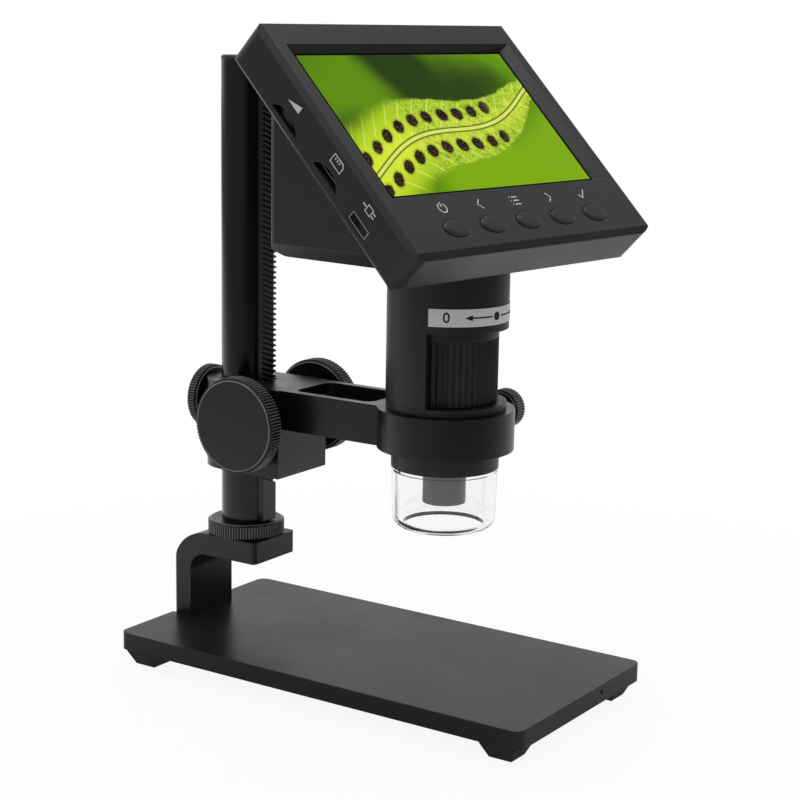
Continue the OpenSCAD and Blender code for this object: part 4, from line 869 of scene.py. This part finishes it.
# a pair of numbers is where a fade starts and ends, in metres on the floor and in parts of a unit
# direction in the room, or the two brightnesses it joins
studio = {
    "floorSize": 8.0,
    # level directions from the camera to what lies behind the object, and to its right
    "behind": (0.82, 0.57, 0.0), "rightward": (0.57, -0.82, 0.0),
    "ceiling": 0.42, "leftSide": 0.28, "rightSide": 0.07, "horizon": 1.0,
    "wallEdge": (0.12, 0.50), "roomSides": (-0.7, 0.5), "roomWall": (0.05, 0.9),
    # the floor as the camera sees it keeps the object's shadow, which is gone further out
    "shadowReach": (0.10, 0.40), "shadowGlow": (0.92, 1.0), "shadowed": (0.9, 0.9, 0.9),
    # the floor as a glossy surface sees it
    "backdropAt": 0.7, "backdropReach": (0.55, 1.3), "floorSides": (-0.6, 0.4),
    "floorWall": (0.0, 0.45), "floorWallGlow": (1.0, 0.65),
    "plateReach": (0.05, 0.20), "plateGlow": (0.3, 1.0),
    # the floor as it lights everything else
    "floorColour": (0.85, 0.85, 0.85),
    "lamps": [
        {"place": (0.15, 0.10, 1.45), "aim": (0, 0, 0.1), "size": 1.2, "power": 11.0},
        {"place": (-1.3, -0.2, 0.9), "aim": (0, 0, 0.12), "size": 0.5, "power": 0.8},
    ],
}
white = (1, 1, 1)


def rayMask(tree, labels):
    # one for any of the named kinds of ray
    path = tree.nodes.new("ShaderNodeLightPath")
    mask = path.outputs[labels[0]]
    for label in labels[1:]:
        mask = mathNode(tree, "MAXIMUM", mask, path.outputs[label])
    return mask


def seenFloor(tree, away):
    # close to the object the floor keeps its shadow, further out it is plain white
    shadowed = addNode(tree, "ShaderNodeBsdfDiffuse", Color=studio["shadowed"])
    glow = addNode(tree, "ShaderNodeEmission", Color=white, Strength=1.0)
    share = rangeNode(tree, away, studio["shadowReach"], studio["shadowGlow"])
    return mixShader(tree, share, shadowed.outputs[0], glow.outputs[0])


def mirroredFloor(tree, place, away):
    # bright below the backdrop, dimmer away from it, and in shadow under the plate
    backdropPlace = Vector(studio["behind"]) * studio["backdropAt"]
    fromBackdrop = vectorNode(tree, "DISTANCE", place, backdropPlace)
    across = vectorNode(tree, "DOT_PRODUCT", place, studio["rightward"])
    sides = (studio["leftSide"], studio["rightSide"])
    side = rangeNode(tree, across, studio["floorSides"], sides)
    backdrop = rangeNode(tree, across, studio["floorWall"], studio["floorWallGlow"])
    outer = rangeNode(tree, fromBackdrop, studio["backdropReach"], (backdrop, side))
    inner = rangeNode(tree, away, studio["plateReach"], studio["plateGlow"])
    glow = mathNode(tree, "MULTIPLY", outer, inner)
    return addNode(tree, "ShaderNodeEmission", Color=white, Strength=glow).outputs[0]


def makeFloor():
    # white for the camera and through glass; a mirror sees it fall off away from the backdrop
    deselectAll()
    bpy.ops.mesh.primitive_plane_add(size=studio["floorSize"], location=(0, 0, 0))
    floor = bpy.context.object
    floor.name = "floor"
    material = bpy.data.materials.new("paleFloor")
    material.use_nodes = True
    tree = material.node_tree
    tree.nodes.clear()
    place = tree.nodes.new("ShaderNodeTexCoord").outputs["Object"]
    away = vectorNode(tree, "LENGTH", place)
    plain = addNode(tree, "ShaderNodeBsdfDiffuse", Color=studio["floorColour"]).outputs[0]
    mirrored = mirroredFloor(tree, place, away)
    byMirror = mixShader(tree, rayMask(tree, ["Is Glossy Ray"]), plain, mirrored)
    byEye = rayMask(tree, ["Is Camera Ray", "Is Transmission Ray"])
    surface = mixShader(tree, byEye, byMirror, seenFloor(tree, away))
    addNode(tree, "ShaderNodeOutputMaterial", Surface=surface)
    paint(floor, material)


def makeWorld():
    # a white backdrop along the horizon behind the object, dimmer sides and a dim ceiling
    world = bpy.context.scene.world or bpy.data.worlds.new("studioWorld")
    bpy.context.scene.world = world
    world.use_nodes = True
    tree = world.node_tree
    tree.nodes.clear()
    place = tree.nodes.new("ShaderNodeTexCoord").outputs["Generated"]
    split = addNode(tree, "ShaderNodeSeparateXYZ", Vector=place)
    facing = vectorNode(tree, "DOT_PRODUCT", place, studio["behind"])
    across = vectorNode(tree, "DOT_PRODUCT", place, studio["rightward"])
    sides = (studio["leftSide"], studio["rightSide"])
    side = rangeNode(tree, across, studio["roomSides"], sides)
    wall = rangeNode(tree, facing, studio["roomWall"], (side, studio["horizon"]))
    low = rangeNode(tree, split.outputs["Z"], studio["wallEdge"], (1.0, 0.0))
    above = mathNode(tree, "SUBTRACT", wall, studio["ceiling"])
    level = mathNode(tree, "MULTIPLY_ADD", above, low, studio["ceiling"])
    room = addNode(tree, "ShaderNodeBackground", Color=white, Strength=level)
    seen = addNode(tree, "ShaderNodeBackground", Color=white, Strength=1.0)
    byEye = rayMask(tree, ["Is Camera Ray", "Is Transmission Ray"])
    surface = mixShader(tree, byEye, room.outputs[0], seen.outputs[0])
    addNode(tree, "ShaderNodeOutputWorld", Surface=surface)


def makeLamps():
    for index, values in enumerate(studio["lamps"]):
        lamp = bpy.data.lights.new("softbox%d" % index, "AREA")
        lamp.size = values["size"]
        lamp.energy = values["power"]
        obj = bpy.data.objects.new("softbox%d" % index, lamp)
        bpy.context.scene.collection.objects.link(obj)
        obj.location = values["place"]
        aim = Vector(values["aim"]) - Vector(values["place"])
        obj.rotation_euler = aim.to_track_quat("-Z", "Y").to_euler()


shot = {
    "place": (-0.50619, -0.34643, 0.22143), "angles": (78.5166, -0.9389, -56.0548),
    "lens": 85.278, "sensor": 36.0,
}


def makeCamera():
    data = bpy.data.cameras.new("camera")
    data.lens = shot["lens"]
    data.sensor_width = shot["sensor"]
    camera = bpy.data.objects.new("camera", data)
    camera.location = shot["place"]
    camera.rotation_euler = Euler([math.radians(angle) for angle in shot["angles"]])
    bpy.context.scene.collection.objects.link(camera)
    bpy.context.scene.camera = camera


makeFloor()
makeWorld()
makeLamps()
makeCamera()
bpy.context.scene.view_settings.view_transform = "Standard"
print("studio and camera made")

bpy.context.view_layer.update()
